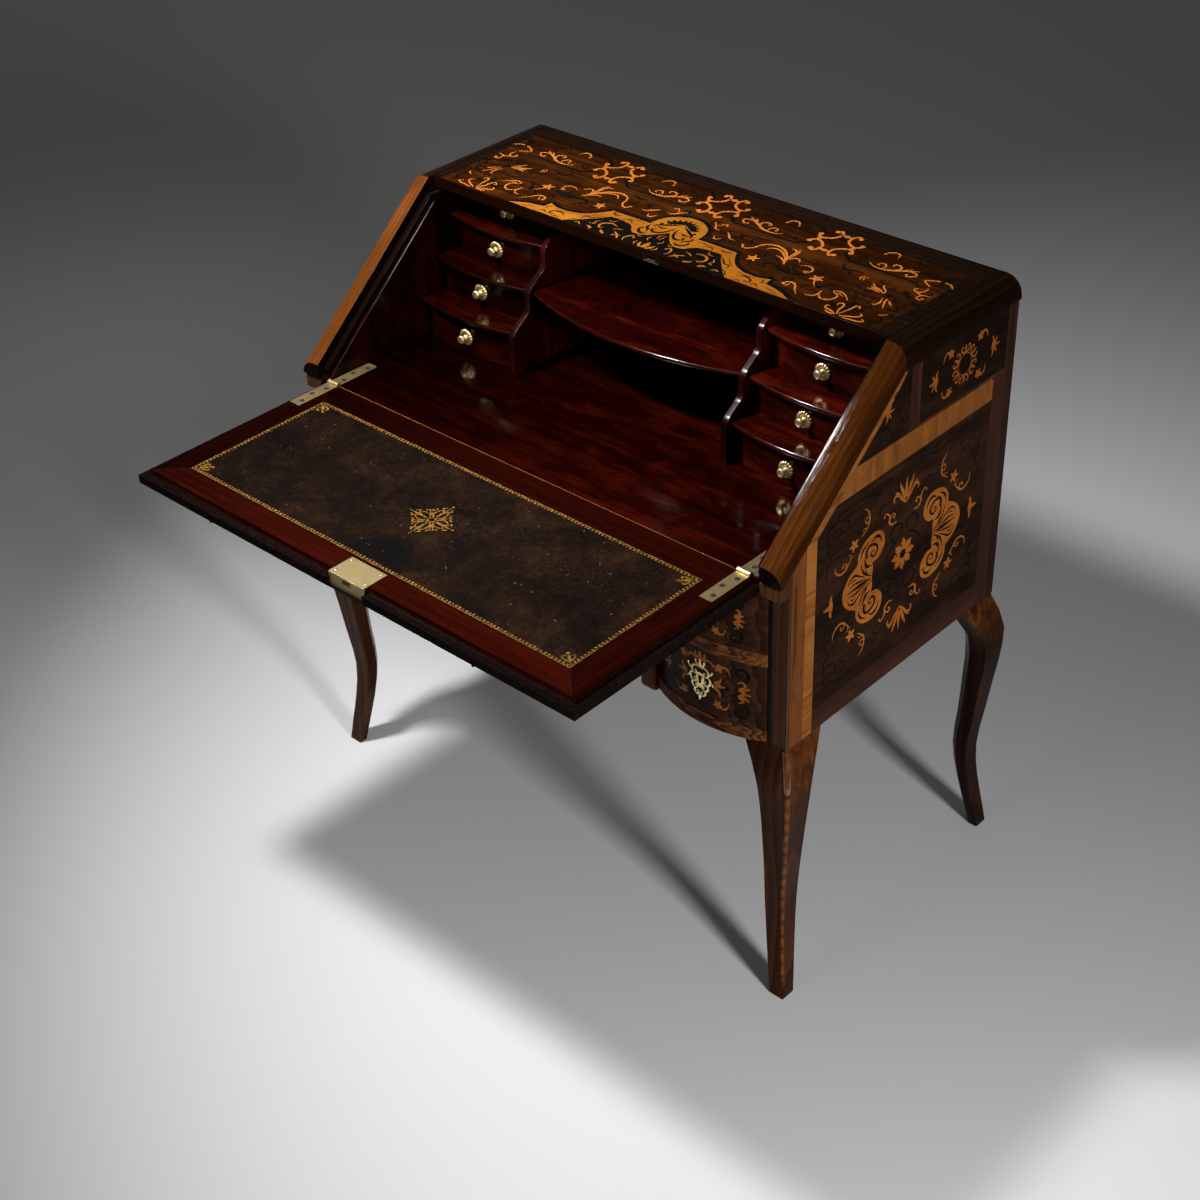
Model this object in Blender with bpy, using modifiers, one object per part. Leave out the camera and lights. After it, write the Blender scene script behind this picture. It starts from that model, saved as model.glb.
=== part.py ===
"""Slant-front writing desk on cabriole legs: hinged fall, stepped nest of drawers, kneehole pedestals."""

import math

import bmesh
import bpy
from mathutils import Matrix, Vector

# Overall sizes in metres. The case frame has x across, y back from the corner posts and z up from the floor.
CASE_WIDTH = 0.942
CASE_DEPTH = 0.506
LEG_HEIGHT = 0.459
WRITING_HEIGHT = 0.740
TOTAL_HEIGHT = 0.987
SLANT = math.radians(40.5)
HINGE_REACH = 0.018

# Clearances
FIT = 0.0003
RUN = 0.0012

# Boards
SIDE_THICK = 0.035
POST_FACE = 0.025
POST_REBATE = 0.006
POST_CHAMFER = 0.0025
EAR_REACH = 0.022
CHEEK_THICK = 0.0142
BACK_THICK = 0.012
TOP_THICK = 0.024
TOP_EDGE = 0.018
TOP_UNDERCUT = 0.010
TOP_STAND = 0.0155
BED_THICK = 0.022

# Rounded moulding along the slants and the ends of the top
MOULD_HEIGHT = 0.033
MOULD_FOOT = 0.005
MOULD_OVERHANG = 0.003
MOULD_ROUND = 0.028
MOULD_LEDGE = 0.0087
MOULD_NOSE = 0.024
MOULD_HEEL = 0.001
LEDGE_SETBACK = 0.006

# Fall
FALL_THICK = 0.022
FALL_LIP = 0.013
FALL_SIDE_LIP = 0.0145
FALL_FRONT_LIP = 0.013
FALL_SIDE_PLAY = 0.002
FALL_TIP_PLAY = 0.0015
LEATHER_SIDE_MARGIN = 0.0416
LEATHER_BACK_MARGIN = 0.047
LEATHER_FRONT_MARGIN = 0.052
LEATHER_THICK = 0.0015

# Hinges
LEAF_WIDTH = 0.022
LEAF_LENGTH = 0.080
LEAF_THICK = 0.002
KNUCKLE_RADIUS = 0.0048
KNUCKLE_PLAY = 0.0006
PIN_RADIUS = 0.0016
HINGE_EDGE = 0.0005

# Lock
LOCK_OFFSET = 0.0155
LOCK_WIDTH = 0.070
LOCK_LENGTH = 0.043
LOCK_SETBACK = 0.005
LOCK_PLATE = 0.002
LOCK_CASE_WIDTH = 0.060
LOCK_CASE_DEPTH = 0.0175
BOLT_WIDTH = 0.013
BOLT_THICK = 0.004
BOLT_LENGTH = 0.024
BOLT_DEPTH = 0.007
BOLT_THROW = 0.013
KEEP_WIDTH = 0.036
KEEP_HEIGHT = 0.013
KEEP_THICK = 0.0012

# Lower front
KNEEHOLE_WIDTH = 0.434
KNEE_WALL = 0.020
KNEE_WALL_REACH = 0.016
KNEE_WALL_DROP = 0.006
BOTTOM_RAIL = 0.021
LOWER_OPENING = 0.108
MID_RAIL = 0.021
TOP_RAIL = 0.015
TOP_RAIL_REACH = 0.012
RAIL_BOW_END = 0.003
RAIL_BOW = 0.024
DRAWER_SETBACK = 0.002
CENTRE_REACH = 0.006
BOARD_SLACK = 0.012

# Drawer joinery
FRONT_THICK = 0.018
WALL_THICK = 0.009
FLOOR_THICK = 0.006
SMALL_FRONT = 0.010
SMALL_WALL = 0.005
SMALL_FLOOR = 0.004
DRAWER_BACK_PLAY = 0.010

# Stepped interior
DIVIDER_SPACING = 0.422
DIVIDER_THICK = 0.010
STEP_SHELF = 0.008
STEP_SHARES = (0.265, 0.525, 0.789)
NEST_SETBACK_FOOT = 0.162
NEST_SETBACK_HEAD = 0.049
STEP_BOW = 0.014
SHELF_NOSE = 0.011
DIVIDER_NOSE = 0.010
CENTRE_SHELF_SETBACK = 0.065
CENTRE_SHELF_BOW = 0.040
NOSE_ROUND = 0.003

# Knobs: plate, neck and flat-faced button, and how far the knob stands out
PLATE_RADIUS = 0.0115
PLATE_THICK = 0.0022
NECK_RADIUS = 0.0034
BUTTON_RADIUS = 0.0062
BUTTON_THICK = 0.0065
BUTTON_ROUND = 0.0014
KNOB_REACH = 0.018

# Legs: how far the outer corner swings out along the diagonal, and how wide the square section is
KNEE_HEIGHT = 0.395
KNEE_SWELL = 0.026
ANKLE_HEIGHT = 0.150
ANKLE_TUCK = 0.001
FOOT_KICK = 0.0245
LEG_TOP_WIDTH = 0.078
KNEE_WIDTH = 0.056
CALF_HEIGHT = 0.260
CALF_SWELL = 0.0115
CALF_WIDTH = 0.040
ANKLE_WIDTH = 0.033
FOOT_WIDTH = 0.026
LEG_RINGS = 14
LEG_ARRIS = 0.004
LEG_INNER_CUT = 0.42

ARC_STEPS = 6
BOW_STEPS = 10
TURN_STEPS = 14

# Places worked out from the sizes above
HALF = CASE_WIDTH / 2
SIDE_INNER = HALF - SIDE_THICK
CHEEK_INNER = SIDE_INNER - FIT - CHEEK_THICK
BAY = SIDE_INNER - FIT
BACK_FRONT = CASE_DEPTH - BACK_THICK
MOULD_BASE = TOTAL_HEIGHT - MOULD_HEIGHT
CEILING = TOTAL_HEIGHT - TOP_THICK
BED_UNDER = WRITING_HEIGHT - BED_THICK
MOULD_INNER = SIDE_INNER + 2 * FIT
LIP_HALF = MOULD_INNER - FALL_SIDE_PLAY
FALL_HALF = LIP_HALF - FALL_SIDE_LIP
LIP_OFF = FALL_THICK - FALL_LIP
LEDGE_INNER = FALL_HALF + LIP_OFF / 2 + FALL_SIDE_PLAY
LEATHER_HALF = FALL_HALF - LEATHER_SIDE_MARGIN
HINGE_Y = -HINGE_REACH
UP_SLANT = Vector((0, math.cos(SLANT), math.sin(SLANT)))
OFF_SLANT = Vector((0, -math.sin(SLANT), math.cos(SLANT)))
HINGE = Vector((0, HINGE_Y, WRITING_HEIGHT))
TOP_FRONT = HINGE_Y + ((TOTAL_HEIGHT - WRITING_HEIGHT) * math.cos(SLANT) - TOP_STAND) / math.sin(SLANT)
FALL_LENGTH = (TOP_FRONT - FALL_TIP_PLAY - HINGE_Y + LIP_OFF * math.sin(SLANT)) / math.cos(SLANT)
LOCK_END = FALL_LENGTH - LOCK_SETBACK
OPEN_REACH = HINGE_REACH + FALL_LENGTH
BACK_REACH = CASE_DEPTH + FOOT_KICK / math.sqrt(2)
FRAME_SHIFT = (OPEN_REACH - BACK_REACH) / 2

LOWER_FLOOR = LEG_HEIGHT + BOTTOM_RAIL
MID_FLOOR = LOWER_FLOOR + LOWER_OPENING
UPPER_FLOOR = MID_FLOOR + MID_RAIL
RAIL_UNDER = BED_UNDER - FIT - TOP_RAIL
KNEE_INNER = KNEEHOLE_WIDTH / 2
KNEE_OUTER = KNEE_INNER + KNEE_WALL
DIVIDER_X = DIVIDER_SPACING / 2
STEP_LEVELS = [WRITING_HEIGHT + share * (CEILING - WRITING_HEIGHT) for share in STEP_SHARES]

# Frames for flat outlines: plan lies in x and y, side in y and z, front in x and z
PLAN = Matrix.Identity(4)
SIDE = Matrix(((0, 0, 1, 0), (1, 0, 0, 0), (0, 1, 0, 0), (0, 0, 0, 1)))
FRONT = Matrix(((1, 0, 0, 0), (0, 0, -1, 0), (0, 1, 0, 0), (0, 0, 0, 1)))


def clear_scene():
    for thing in list(bpy.data.objects):
        bpy.data.objects.remove(thing)


def new_collection(name, hidden=False):
    made = bpy.data.collections.new(name)
    bpy.context.scene.collection.children.link(made)
    made.hide_render = hidden
    return made


def material(name, colour, roughness, metallic=0.0):
    made = bpy.data.materials.new(name)
    made.use_nodes = True
    shader = made.node_tree.nodes["Principled BSDF"]
    shader.inputs["Base Color"].default_value = (*colour, 1)
    shader.inputs["Roughness"].default_value = roughness
    shader.inputs["Metallic"].default_value = metallic
    return made


def empty(name, place, parent=None):
    made = bpy.data.objects.new(name, None)
    made.empty_display_size = 0.05
    made.location = place
    made.parent = parent
    parts.objects.link(made)
    return made


def held_at(parent):
    """Place of a parent in the case frame."""
    return Vector((0, 0, 0)) if parent is desk else parent.location


def part(name, mesh, finish, parent, origin=(0, 0, 0)):
    """A named piece whose mesh is drawn in the case frame, with its own origin on its joint or seat."""
    mesh.transform(Matrix.Translation(-Vector(origin)))
    made = bpy.data.objects.new(name, mesh)
    mesh.name = name
    mesh.materials.append(finish)
    made.parent = parent
    made.location = Vector(origin) - held_at(parent)
    parts.objects.link(made)
    return made


def helper(mesh, name, parent):
    """A hidden tool mesh, drawn in the case frame, that moves with the piece it works on."""
    made = bpy.data.objects.new(name, mesh)
    made.parent = parent
    made.location = -held_at(parent)
    made.hide_render = True
    made.display_type = "WIRE"
    cutters.objects.link(made)
    return made


def combine(target, mesh, operation="DIFFERENCE"):
    """Cuts a mesh of the case frame from a piece, or joins it on."""
    tool = helper(mesh, target.name + "_" + operation.lower(), target.parent)
    step = target.modifiers.new(operation.title(), "BOOLEAN")
    step.operation = operation
    step.object = tool


def to_mesh(work):
    bmesh.ops.recalc_face_normals(work, faces=work.faces)
    made = bpy.data.meshes.new("shape")
    work.to_mesh(made)
    work.free()
    return made


def block(low, high):
    """A box between two corners."""
    low = Vector(low)
    high = Vector(high)
    work = bmesh.new()
    bmesh.ops.create_cube(work, size=1)
    size = high - low
    middle = (low + high) / 2
    work.transform(Matrix.Translation(middle) @ Matrix.Diagonal((*size, 1)))
    return to_mesh(work)


def rod(start, length, radius, steps=TURN_STEPS):
    """A cylinder that runs along +x from a point."""
    work = bmesh.new()
    bmesh.ops.create_cone(
        work, cap_ends=True, segments=steps, radius1=radius, radius2=radius, depth=length
    )
    lie_down = Matrix.Rotation(math.pi / 2, 4, "Y")
    work.transform(Matrix.Translation(Vector(start) + Vector((length / 2, 0, 0))) @ lie_down)
    return to_mesh(work)


def sheet(outline, frame, start, end):
    """A flat outline drawn in a frame and extruded from start to end along that frame's third axis."""
    curve = bpy.data.curves.new("outline", "CURVE")
    curve.dimensions = "2D"
    curve.fill_mode = "BOTH"
    curve.extrude = (end - start) / 2
    spline = curve.splines.new("POLY")
    spline.points.add(len(outline) - 1)
    for point, (across, along) in zip(spline.points, outline):
        point.co = (across, along, 0, 1)
    spline.use_cyclic_u = True
    carrier = bpy.data.objects.new("outline", curve)
    bpy.context.scene.collection.objects.link(carrier)
    bpy.context.view_layer.update()
    graph = bpy.context.evaluated_depsgraph_get()
    drawn = bpy.data.meshes.new_from_object(carrier.evaluated_get(graph))
    bpy.data.objects.remove(carrier)
    work = bmesh.new()
    work.from_mesh(drawn)
    bmesh.ops.remove_doubles(work, verts=work.verts, dist=1e-6)
    bmesh.ops.dissolve_limit(work, angle_limit=1e-3, verts=work.verts, edges=work.edges)
    work.transform(frame @ Matrix.Translation((0, 0, (start + end) / 2)))
    bpy.data.meshes.remove(drawn)
    return to_mesh(work)


def loft(rings):
    """A closed skin over rings of points that all have the same count."""
    work = bmesh.new()
    loops = [[work.verts.new(point) for point in ring] for ring in rings]
    count = len(loops[0])
    for near, far in zip(loops, loops[1:]):
        for i in range(count):
            j = (i + 1) % count
            work.faces.new((near[i], near[j], far[j], far[i]))
    work.faces.new(loops[0])
    work.faces.new(loops[-1])
    return to_mesh(work)


def mirrored(points, sign):
    """The same outline on the right, or its mirror image on the left."""
    return [(sign * across, along) for across, along in points]


def span(sign, near, far):
    """Start and end along x for a piece that lies between two distances from the middle."""
    return (near, far) if sign > 0 else (-far, -near)


def arc(centre, radius, start, end, steps=ARC_STEPS):
    """Points of an arc between two angles, ends included."""
    turns = [start + (end - start) * i / steps for i in range(steps + 1)]
    return [(centre[0] + radius * math.cos(t), centre[1] + radius * math.sin(t)) for t in turns]


def bow(near, far, ends, depth, steps=BOW_STEPS):
    """A front line that swells forward by depth between two places along x."""
    middle = (near + far) / 2
    half = (far - near) / 2
    places = [near + (far - near) * i / steps for i in range(steps + 1)]
    return [(x, ends - depth * (1 - ((x - middle) / half) ** 2)) for x in places]


def s_curve(start, end, steps=ARC_STEPS):
    """Points that leave and arrive upright, swinging from one place to another."""
    shares = [i / steps for i in range(steps + 1)]
    return [
        (
            start[0] + (end[0] - start[0]) * (1 - math.cos(math.pi * t)) / 2,
            start[1] + (end[1] - start[1]) * t,
        )
        for t in shares
    ]


def soften(target, width, chosen, segments=2):
    """Rounds the edges whose middle point is chosen."""
    mesh = target.data
    weights = mesh.attributes.new("bevel_weight_edge", "FLOAT", "EDGE")
    place = target.location + held_at(target.parent)
    for edge in mesh.edges:
        ends = [mesh.vertices[i].co + place for i in edge.vertices]
        weights.data[edge.index].value = 1.0 if chosen(*ends) else 0.0
    step = target.modifiers.new("Rounding", "BEVEL")
    step.limit_method = "WEIGHT"
    step.width = width
    step.segments = segments


def slant_height(y):
    """Height of the slanting plane through the hinge line."""
    return WRITING_HEIGHT + (y + HINGE_REACH) * math.tan(SLANT)


def slant_depth(z):
    """Depth of the same plane at a height."""
    return (z - WRITING_HEIGHT) / math.tan(SLANT) - HINGE_REACH


def bolt_path(half_width, along, off):
    """A box on the lock's line in the slanting plane: distances up the slant and off the plane."""
    low = Vector((LOCK_OFFSET - half_width, along[0], off[0]))
    high = Vector((LOCK_OFFSET + half_width, along[1], off[1]))
    made = block(low, high)
    made.transform(Matrix.Translation(HINGE) @ Matrix.Rotation(SLANT, 4, "X"))
    return made


def fall_block(low_x, high_x, along, deep):
    """A box in the open fall: distances from the hinge towards the writer, and below the writing face."""
    low = (low_x, HINGE_Y - along[1], WRITING_HEIGHT - deep[1])
    high = (high_x, HINGE_Y - along[0], WRITING_HEIGHT - deep[0])
    return block(low, high)


def lock_block(half_width, along, deep):
    """A box in the open fall on the lock's line."""
    return fall_block(LOCK_OFFSET - half_width, LOCK_OFFSET + half_width, along, deep)


def build_side(sign, tag):
    shoulder = MOULD_BASE - FIT
    clear = FIT / math.cos(SLANT)
    ear_base = BED_UNDER - FIT
    outline = [
        (0, LEG_HEIGHT),
        (CASE_DEPTH, LEG_HEIGHT),
        (CASE_DEPTH, shoulder),
        (slant_depth(shoulder + clear), shoulder),
        (-EAR_REACH, slant_height(-EAR_REACH) - clear),
        (-EAR_REACH, ear_base),
        (0, ear_base),
    ]
    side = part("case_side_" + tag, sheet(outline, SIDE, *span(sign, SIDE_INNER, HALF)), walnut, desk)
    near, far = span(sign, SIDE_INNER - RUN, HALF - POST_FACE)
    combine(side, block((near, -RUN, LEG_HEIGHT - RUN), (far, POST_REBATE, ear_base)))

    def outer_corner(a, b):
        upright = abs(a.y) < FIT and abs(b.y) < FIT
        return upright and abs(a.x - sign * HALF) < FIT and abs(b.x - sign * HALF) < FIT

    soften(side, POST_CHAMFER, outer_corner, 1)


def build_cheek(sign, tag):
    """Inner lining of the desk space, which carries the stepped shelves."""
    clear = FIT / math.cos(SLANT)
    shoulder = MOULD_BASE - FIT
    foot = WRITING_HEIGHT + FIT
    outline = [
        (slant_depth(foot + clear), foot),
        (BACK_FRONT - FIT, foot),
        (BACK_FRONT - FIT, shoulder),
        (slant_depth(shoulder + clear), shoulder),
    ]
    part("desk_cheek_" + tag, sheet(outline, SIDE, *span(sign, CHEEK_INNER, BAY)), mahogany, desk)


def moulding_section(height):
    """Outline in x and height of a bar this high: foot, round, flat crown, inner wall and ledge."""
    outer = HALF + MOULD_OVERHANG
    rise = height - MOULD_FOOT
    quarter = [(math.cos(t), math.sin(t)) for t in ROUND_TURNS]
    return [
        (outer, 0),
        *[(outer - MOULD_ROUND * (1 - out), MOULD_FOOT + rise * up) for out, up in quarter],
        (MOULD_INNER, height),
        (MOULD_INNER, MOULD_LEDGE),
        (LEDGE_INNER, MOULD_LEDGE),
        (LEDGE_INNER, 0),
    ]


def build_moulding(sign, tag):
    """One rounded moulding: up the slant, flush with the closed fall, then back along the end of the top."""
    rings = ([], [], [])
    for (x, rise), (_, level) in zip(moulding_section(FALL_THICK), moulding_section(MOULD_HEIGHT)):
        foot = HINGE + OFF_SLANT * rise + Vector((sign * x, 0, 0))
        height = MOULD_BASE + level
        rings[0].append(foot - UP_SLANT * 2 * MOULD_HEIGHT)
        rings[1].append(foot + UP_SLANT * (height - foot.z) / UP_SLANT.z)
        rings[2].append(Vector((sign * x, CASE_DEPTH, height)))
    bar = part("slant_moulding_" + tag, loft(rings), walnut, desk)
    reach = 0.2
    near, far = span(sign, CHEEK_INNER - RUN, HALF + reach)
    low = WRITING_HEIGHT - reach
    combine(bar, block((near, -reach, low), (far, -MOULD_NOSE, TOTAL_HEIGHT)))
    combine(bar, block((near, -reach, low), (far, 0, WRITING_HEIGHT + MOULD_HEEL)))
    near, far = span(sign, CHEEK_INNER - RUN, MOULD_INNER)
    combine(bar, block((near, -reach, low), (far, HINGE_Y + LEDGE_SETBACK, TOTAL_HEIGHT)))


def build_top():
    """Top with an upright front edge, a keep let into that edge and a mortise for the bolt behind it."""
    outline = [
        (TOP_FRONT, TOTAL_HEIGHT),
        (TOP_FRONT, TOTAL_HEIGHT - TOP_EDGE),
        (TOP_FRONT + TOP_UNDERCUT, CEILING),
        (CASE_DEPTH, CEILING),
        (CASE_DEPTH, TOTAL_HEIGHT),
    ]
    half = MOULD_INNER - FIT
    top = part("top_board", sheet(outline, SIDE, -half, half), walnut, desk)
    face = TOP_FRONT + FIT
    along = (face - HINGE_Y + BOLT_DEPTH * math.sin(SLANT)) / math.cos(SLANT)
    middle = (HINGE + UP_SLANT * along + OFF_SLANT * BOLT_DEPTH).z
    low = Vector((LOCK_OFFSET - KEEP_WIDTH / 2, face, middle - KEEP_HEIGHT / 2))
    high = Vector((LOCK_OFFSET + KEEP_WIDTH / 2, face + KEEP_THICK, middle + KEEP_HEIGHT / 2))
    slack = Vector((FIT, FIT, FIT))
    combine(top, block(low - slack - Vector((0, RUN, 0)), high + slack))
    reach = (LOCK_END - BOLT_THROW, LOCK_END + BOLT_THROW + RUN)
    path_off = (BOLT_DEPTH - BOLT_THICK / 2 - FIT, BOLT_DEPTH + BOLT_THICK / 2 + FIT)
    path_half = BOLT_WIDTH / 2 + RUN
    combine(top, bolt_path(path_half, reach, path_off))
    keep = part("lock_keep", block(low, high), brass, desk)
    combine(keep, bolt_path(path_half, reach, path_off))


def build_back():
    half = BAY
    narrow = LEDGE_INNER - FIT
    outline = [
        (-half, LEG_HEIGHT),
        (half, LEG_HEIGHT),
        (half, MOULD_BASE - FIT),
        (narrow, MOULD_BASE - FIT),
        (narrow, CEILING - FIT),
        (-narrow, CEILING - FIT),
        (-narrow, MOULD_BASE - FIT),
        (-half, MOULD_BASE - FIT),
    ]
    part("back_board", sheet(outline, FRONT, -CASE_DEPTH, -BACK_FRONT), oak, desk)


def hinge_edges(sign):
    """Near and far ends of a hinge along x."""
    far = FALL_HALF - HINGE_EDGE
    return span(sign, far - LEAF_WIDTH, far)


def hinge_seat(target, bed_side):
    """Sinks both hinges into the bed or the fall: a leaf recess and half of the knuckle groove."""
    for sign in (-1, 1):
        near, far = hinge_edges(sign)
        end = LEAF_LENGTH + FIT
        reach = (HINGE_Y, HINGE_Y + end) if bed_side else (HINGE_Y - end, HINGE_Y)
        top = WRITING_HEIGHT + RUN
        floor = WRITING_HEIGHT - LEAF_THICK - FIT
        combine(target, block((near - FIT, reach[0], floor), (far + FIT, reach[1], top)))
        groove = KNUCKLE_RADIUS + KNUCKLE_PLAY
        length = far - near + 2 * FIT
        combine(target, rod((near - FIT, HINGE_Y, WRITING_HEIGHT), length, groove))


def build_bed():
    low = (-BAY, HINGE_Y, BED_UNDER)
    high = (BAY, BACK_FRONT - FIT, WRITING_HEIGHT)
    bed = part("writing_bed", block(low, high), mahogany, desk)
    hinge_seat(bed, True)


def build_hinge(sign, tag):
    """Butt hinge: the bed leaf carries the two outer knuckles and the pin, the fall leaf the middle one."""
    near, far = hinge_edges(sign)
    third = (far - near) / 3
    open_gap = KNUCKLE_RADIUS + KNUCKLE_PLAY
    under = WRITING_HEIGHT - LEAF_THICK
    axis = Vector((0, HINGE_Y, WRITING_HEIGHT))
    bed_low = (near, HINGE_Y, under)
    bed_high = (far, HINGE_Y + LEAF_LENGTH, WRITING_HEIGHT)
    bed_leaf = part("hinge_bed_leaf_" + tag, block(bed_low, bed_high), brass, desk)
    middle = axis + Vector((near + third - FIT, 0, 0))
    for start in (near, near + 2 * third + FIT):
        length = third - FIT
        combine(bed_leaf, rod(axis + Vector((start, 0, 0)), length, KNUCKLE_RADIUS), "UNION")
    combine(bed_leaf, rod(middle, third + 2 * FIT, open_gap))
    inset = third / 2
    pin_start = axis + Vector((near + inset, 0, 0))
    combine(bed_leaf, rod(pin_start, far - near - 2 * inset, PIN_RADIUS), "UNION")

    fall_low = (near, HINGE_Y - LEAF_LENGTH, under)
    fall_high = (far, HINGE_Y, WRITING_HEIGHT)
    fall_leaf = part("hinge_fall_leaf_" + tag, block(fall_low, fall_high), brass, fall_pivot, HINGE)
    for start in (near - RUN, near + 2 * third):
        combine(fall_leaf, rod(axis + Vector((start, 0, 0)), third + RUN, open_gap))
    combine(fall_leaf, rod(middle + Vector((FIT, 0, 0)), third, KNUCKLE_RADIUS), "UNION")
    combine(fall_leaf, rod(middle - Vector((third, 0, 0)), 3 * third, PIN_RADIUS + FIT))


def build_fall():
    """Panel with a cove and a lip round its three free sides, lock notch and leather recess."""
    lip_top = WRITING_HEIGHT - FALL_THICK + FALL_LIP
    under = WRITING_HEIGHT - FALL_THICK
    back = HINGE_Y - FIT
    tip = HINGE_Y - FALL_LENGTH
    board = block((-LIP_HALF, tip, under), (LIP_HALF, back, WRITING_HEIGHT))
    panel = part("fall_panel", board, mahogany, fall_pivot, HINGE)
    cove = LIP_OFF
    hollow = arc((FALL_HALF + cove / 2, lip_top + cove / 2), cove / 2, math.pi, 3 * math.pi / 2, 3)
    section = [
        (FALL_HALF, WRITING_HEIGHT + RUN),
        *hollow,
        (LIP_HALF + RUN, lip_top),
        (LIP_HALF + RUN, WRITING_HEIGHT + RUN),
    ]
    for sign in (-1, 1):
        combine(panel, sheet(mirrored(section, sign), FRONT, -back - RUN, -tip + RUN))
    face_end = tip + FALL_FRONT_LIP
    section = [
        (face_end, WRITING_HEIGHT + RUN),
        *arc((face_end - cove / 2, lip_top + cove / 2), cove / 2, 0, -math.pi / 2, 3),
        (tip - RUN, lip_top),
        (tip - RUN, WRITING_HEIGHT + RUN),
    ]
    combine(panel, sheet(section, SIDE, -LIP_HALF - RUN, LIP_HALF + RUN))
    hinge_seat(panel, False)
    leather_half = LEATHER_HALF
    margin = (LEATHER_BACK_MARGIN, FALL_LENGTH - LEATHER_FRONT_MARGIN)
    recess = (margin[0] - FIT, margin[1] + FIT)
    sunk = LEATHER_THICK + FIT
    combine(panel, fall_block(-leather_half - FIT, leather_half + FIT, recess, (-RUN, sunk)))
    leather = fall_block(-leather_half, leather_half, margin, (0, LEATHER_THICK))
    part("fall_leather", leather, hide, fall_pivot, HINGE)
    build_lock(panel)


def build_lock(panel):
    """Lock let into the fall, a little behind the lip's edge so that it clears the top."""
    end = LOCK_END
    start = end - LOCK_LENGTH
    half = LOCK_WIDTH / 2
    case_half = LOCK_CASE_WIDTH / 2
    front = (end - LOCK_PLATE, end)
    case = (start + 2 * LOCK_PLATE, end - LOCK_PLATE / 2)
    case_deep = (LOCK_PLATE / 2, LOCK_CASE_DEPTH)
    face = lock_block(half, (start, end), (0, LOCK_PLATE))
    lock = part("lock_plate", face, brass, fall_pivot, HINGE)
    combine(lock, lock_block(half, front, (0, FALL_THICK)), "UNION")
    combine(lock, lock_block(case_half, case, case_deep), "UNION")
    slot_half = BOLT_WIDTH / 2 + FIT
    slot_deep = (BOLT_DEPTH - BOLT_THICK / 2 - FIT, BOLT_DEPTH + BOLT_THICK / 2 + FIT)
    bolt_back = end - BOLT_LENGTH
    combine(lock, lock_block(slot_half, (bolt_back - FIT, end + RUN), slot_deep))
    wide = half + FIT
    combine(panel, lock_block(wide, (start - FIT, end + RUN), (-RUN, LOCK_PLATE + FIT)))
    combine(panel, lock_block(wide, (end - LOCK_PLATE - FIT, FALL_LENGTH + RUN), (-RUN, FALL_THICK + RUN)))
    wide = case_half + FIT
    combine(panel, lock_block(wide, (case[0] - FIT, end), (0, LOCK_CASE_DEPTH + FIT)))
    bolt_deep = (BOLT_DEPTH - BOLT_THICK / 2, BOLT_DEPTH + BOLT_THICK / 2)
    bolt = lock_block(BOLT_WIDTH / 2, (bolt_back, end - FIT), bolt_deep)
    part("lock_bolt", bolt, brass, fall_pivot, HINGE + Vector((LOCK_OFFSET, -bolt_back, -BOLT_DEPTH)))


def rail_front(near, far):
    """Bowed front line of the pedestal rails."""
    return bow(near, far, -RAIL_BOW_END, RAIL_BOW)


def bayed(front, back, sign):
    """Closed plan outline of a board between a pedestal's walls, from its front line to its back."""
    return mirrored([*front, (front[-1][0], back), (front[0][0], back)], sign)


def build_pedestal(sign, tag):
    """Kneehole wall, bottom board and drawer rail of one pedestal, each with its dust board."""
    back = BACK_FRONT - FIT
    radius = KNEE_WALL_REACH
    foot = LEG_HEIGHT - KNEE_WALL_DROP
    outline = [
        (-KNEE_WALL_REACH, BED_UNDER - FIT - TOP_RAIL - FIT),
        *arc((-KNEE_WALL_REACH + radius, foot + radius), radius, math.pi, 3 * math.pi / 2),
        (CASE_DEPTH / 4, foot),
        (CASE_DEPTH / 3, LEG_HEIGHT),
        (back, LEG_HEIGHT),
        (back, BED_UNDER - FIT),
        (BOARD_SLACK + TOP_RAIL_REACH, BED_UNDER - FIT),
        (BOARD_SLACK + TOP_RAIL_REACH, BED_UNDER - FIT - TOP_RAIL - FIT),
    ]
    part("kneehole_wall_" + tag, sheet(outline, SIDE, *span(sign, KNEE_INNER, KNEE_OUTER)), walnut, desk)
    near = KNEE_OUTER + FIT
    far = BAY
    boards = (
        ("pedestal_bottom_", LEG_HEIGHT, LOWER_FLOOR),
        ("drawer_rail_", MID_FLOOR, UPPER_FLOOR),
    )
    for name, low, high in boards:
        board = sheet(bayed(rail_front(near, far), back, sign), PLAN, low, high)
        part(name + tag, board, walnut, desk)


def build_front_rail():
    """Rail under the bed: bowed over both pedestals and straight over the kneehole."""
    back = BOARD_SLACK + TOP_RAIL_REACH - FIT
    right = [*rail_front(KNEE_OUTER + FIT, BAY), (BAY, back)]
    left = mirrored(reversed(right), -1)
    straight = [(-KNEE_OUTER, -TOP_RAIL_REACH), (KNEE_OUTER, -TOP_RAIL_REACH)]
    rail = sheet([*left, *straight, *right], PLAN, RAIL_UNDER, BED_UNDER - FIT)
    part("front_rail", rail, walnut, desk)


def drawer(name, front, back, heights, joinery, finish):
    """Open box behind a front that follows a given front line, with its origin at the middle of its floor."""
    front_thick, wall, floor = joinery
    low, high = heights
    near = front[0][0]
    far = front[-1][0]
    outline = [*front, (far, back), (near, back)]
    origin = ((near + far) / 2, front[0][1], low)
    box = part(name, sheet(outline, PLAN, low, high), finish, desk, origin)
    width = far - near
    squeeze = (width - 2 * wall) / width
    middle = (near + far) / 2
    inner = [(middle + (x - middle) * squeeze, y + front_thick) for x, y in front]
    hollow = [*inner, (inner[-1][0], back - wall), (inner[0][0], back - wall)]
    combine(box, sheet(hollow, PLAN, low + floor, high + RUN))
    return box


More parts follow.
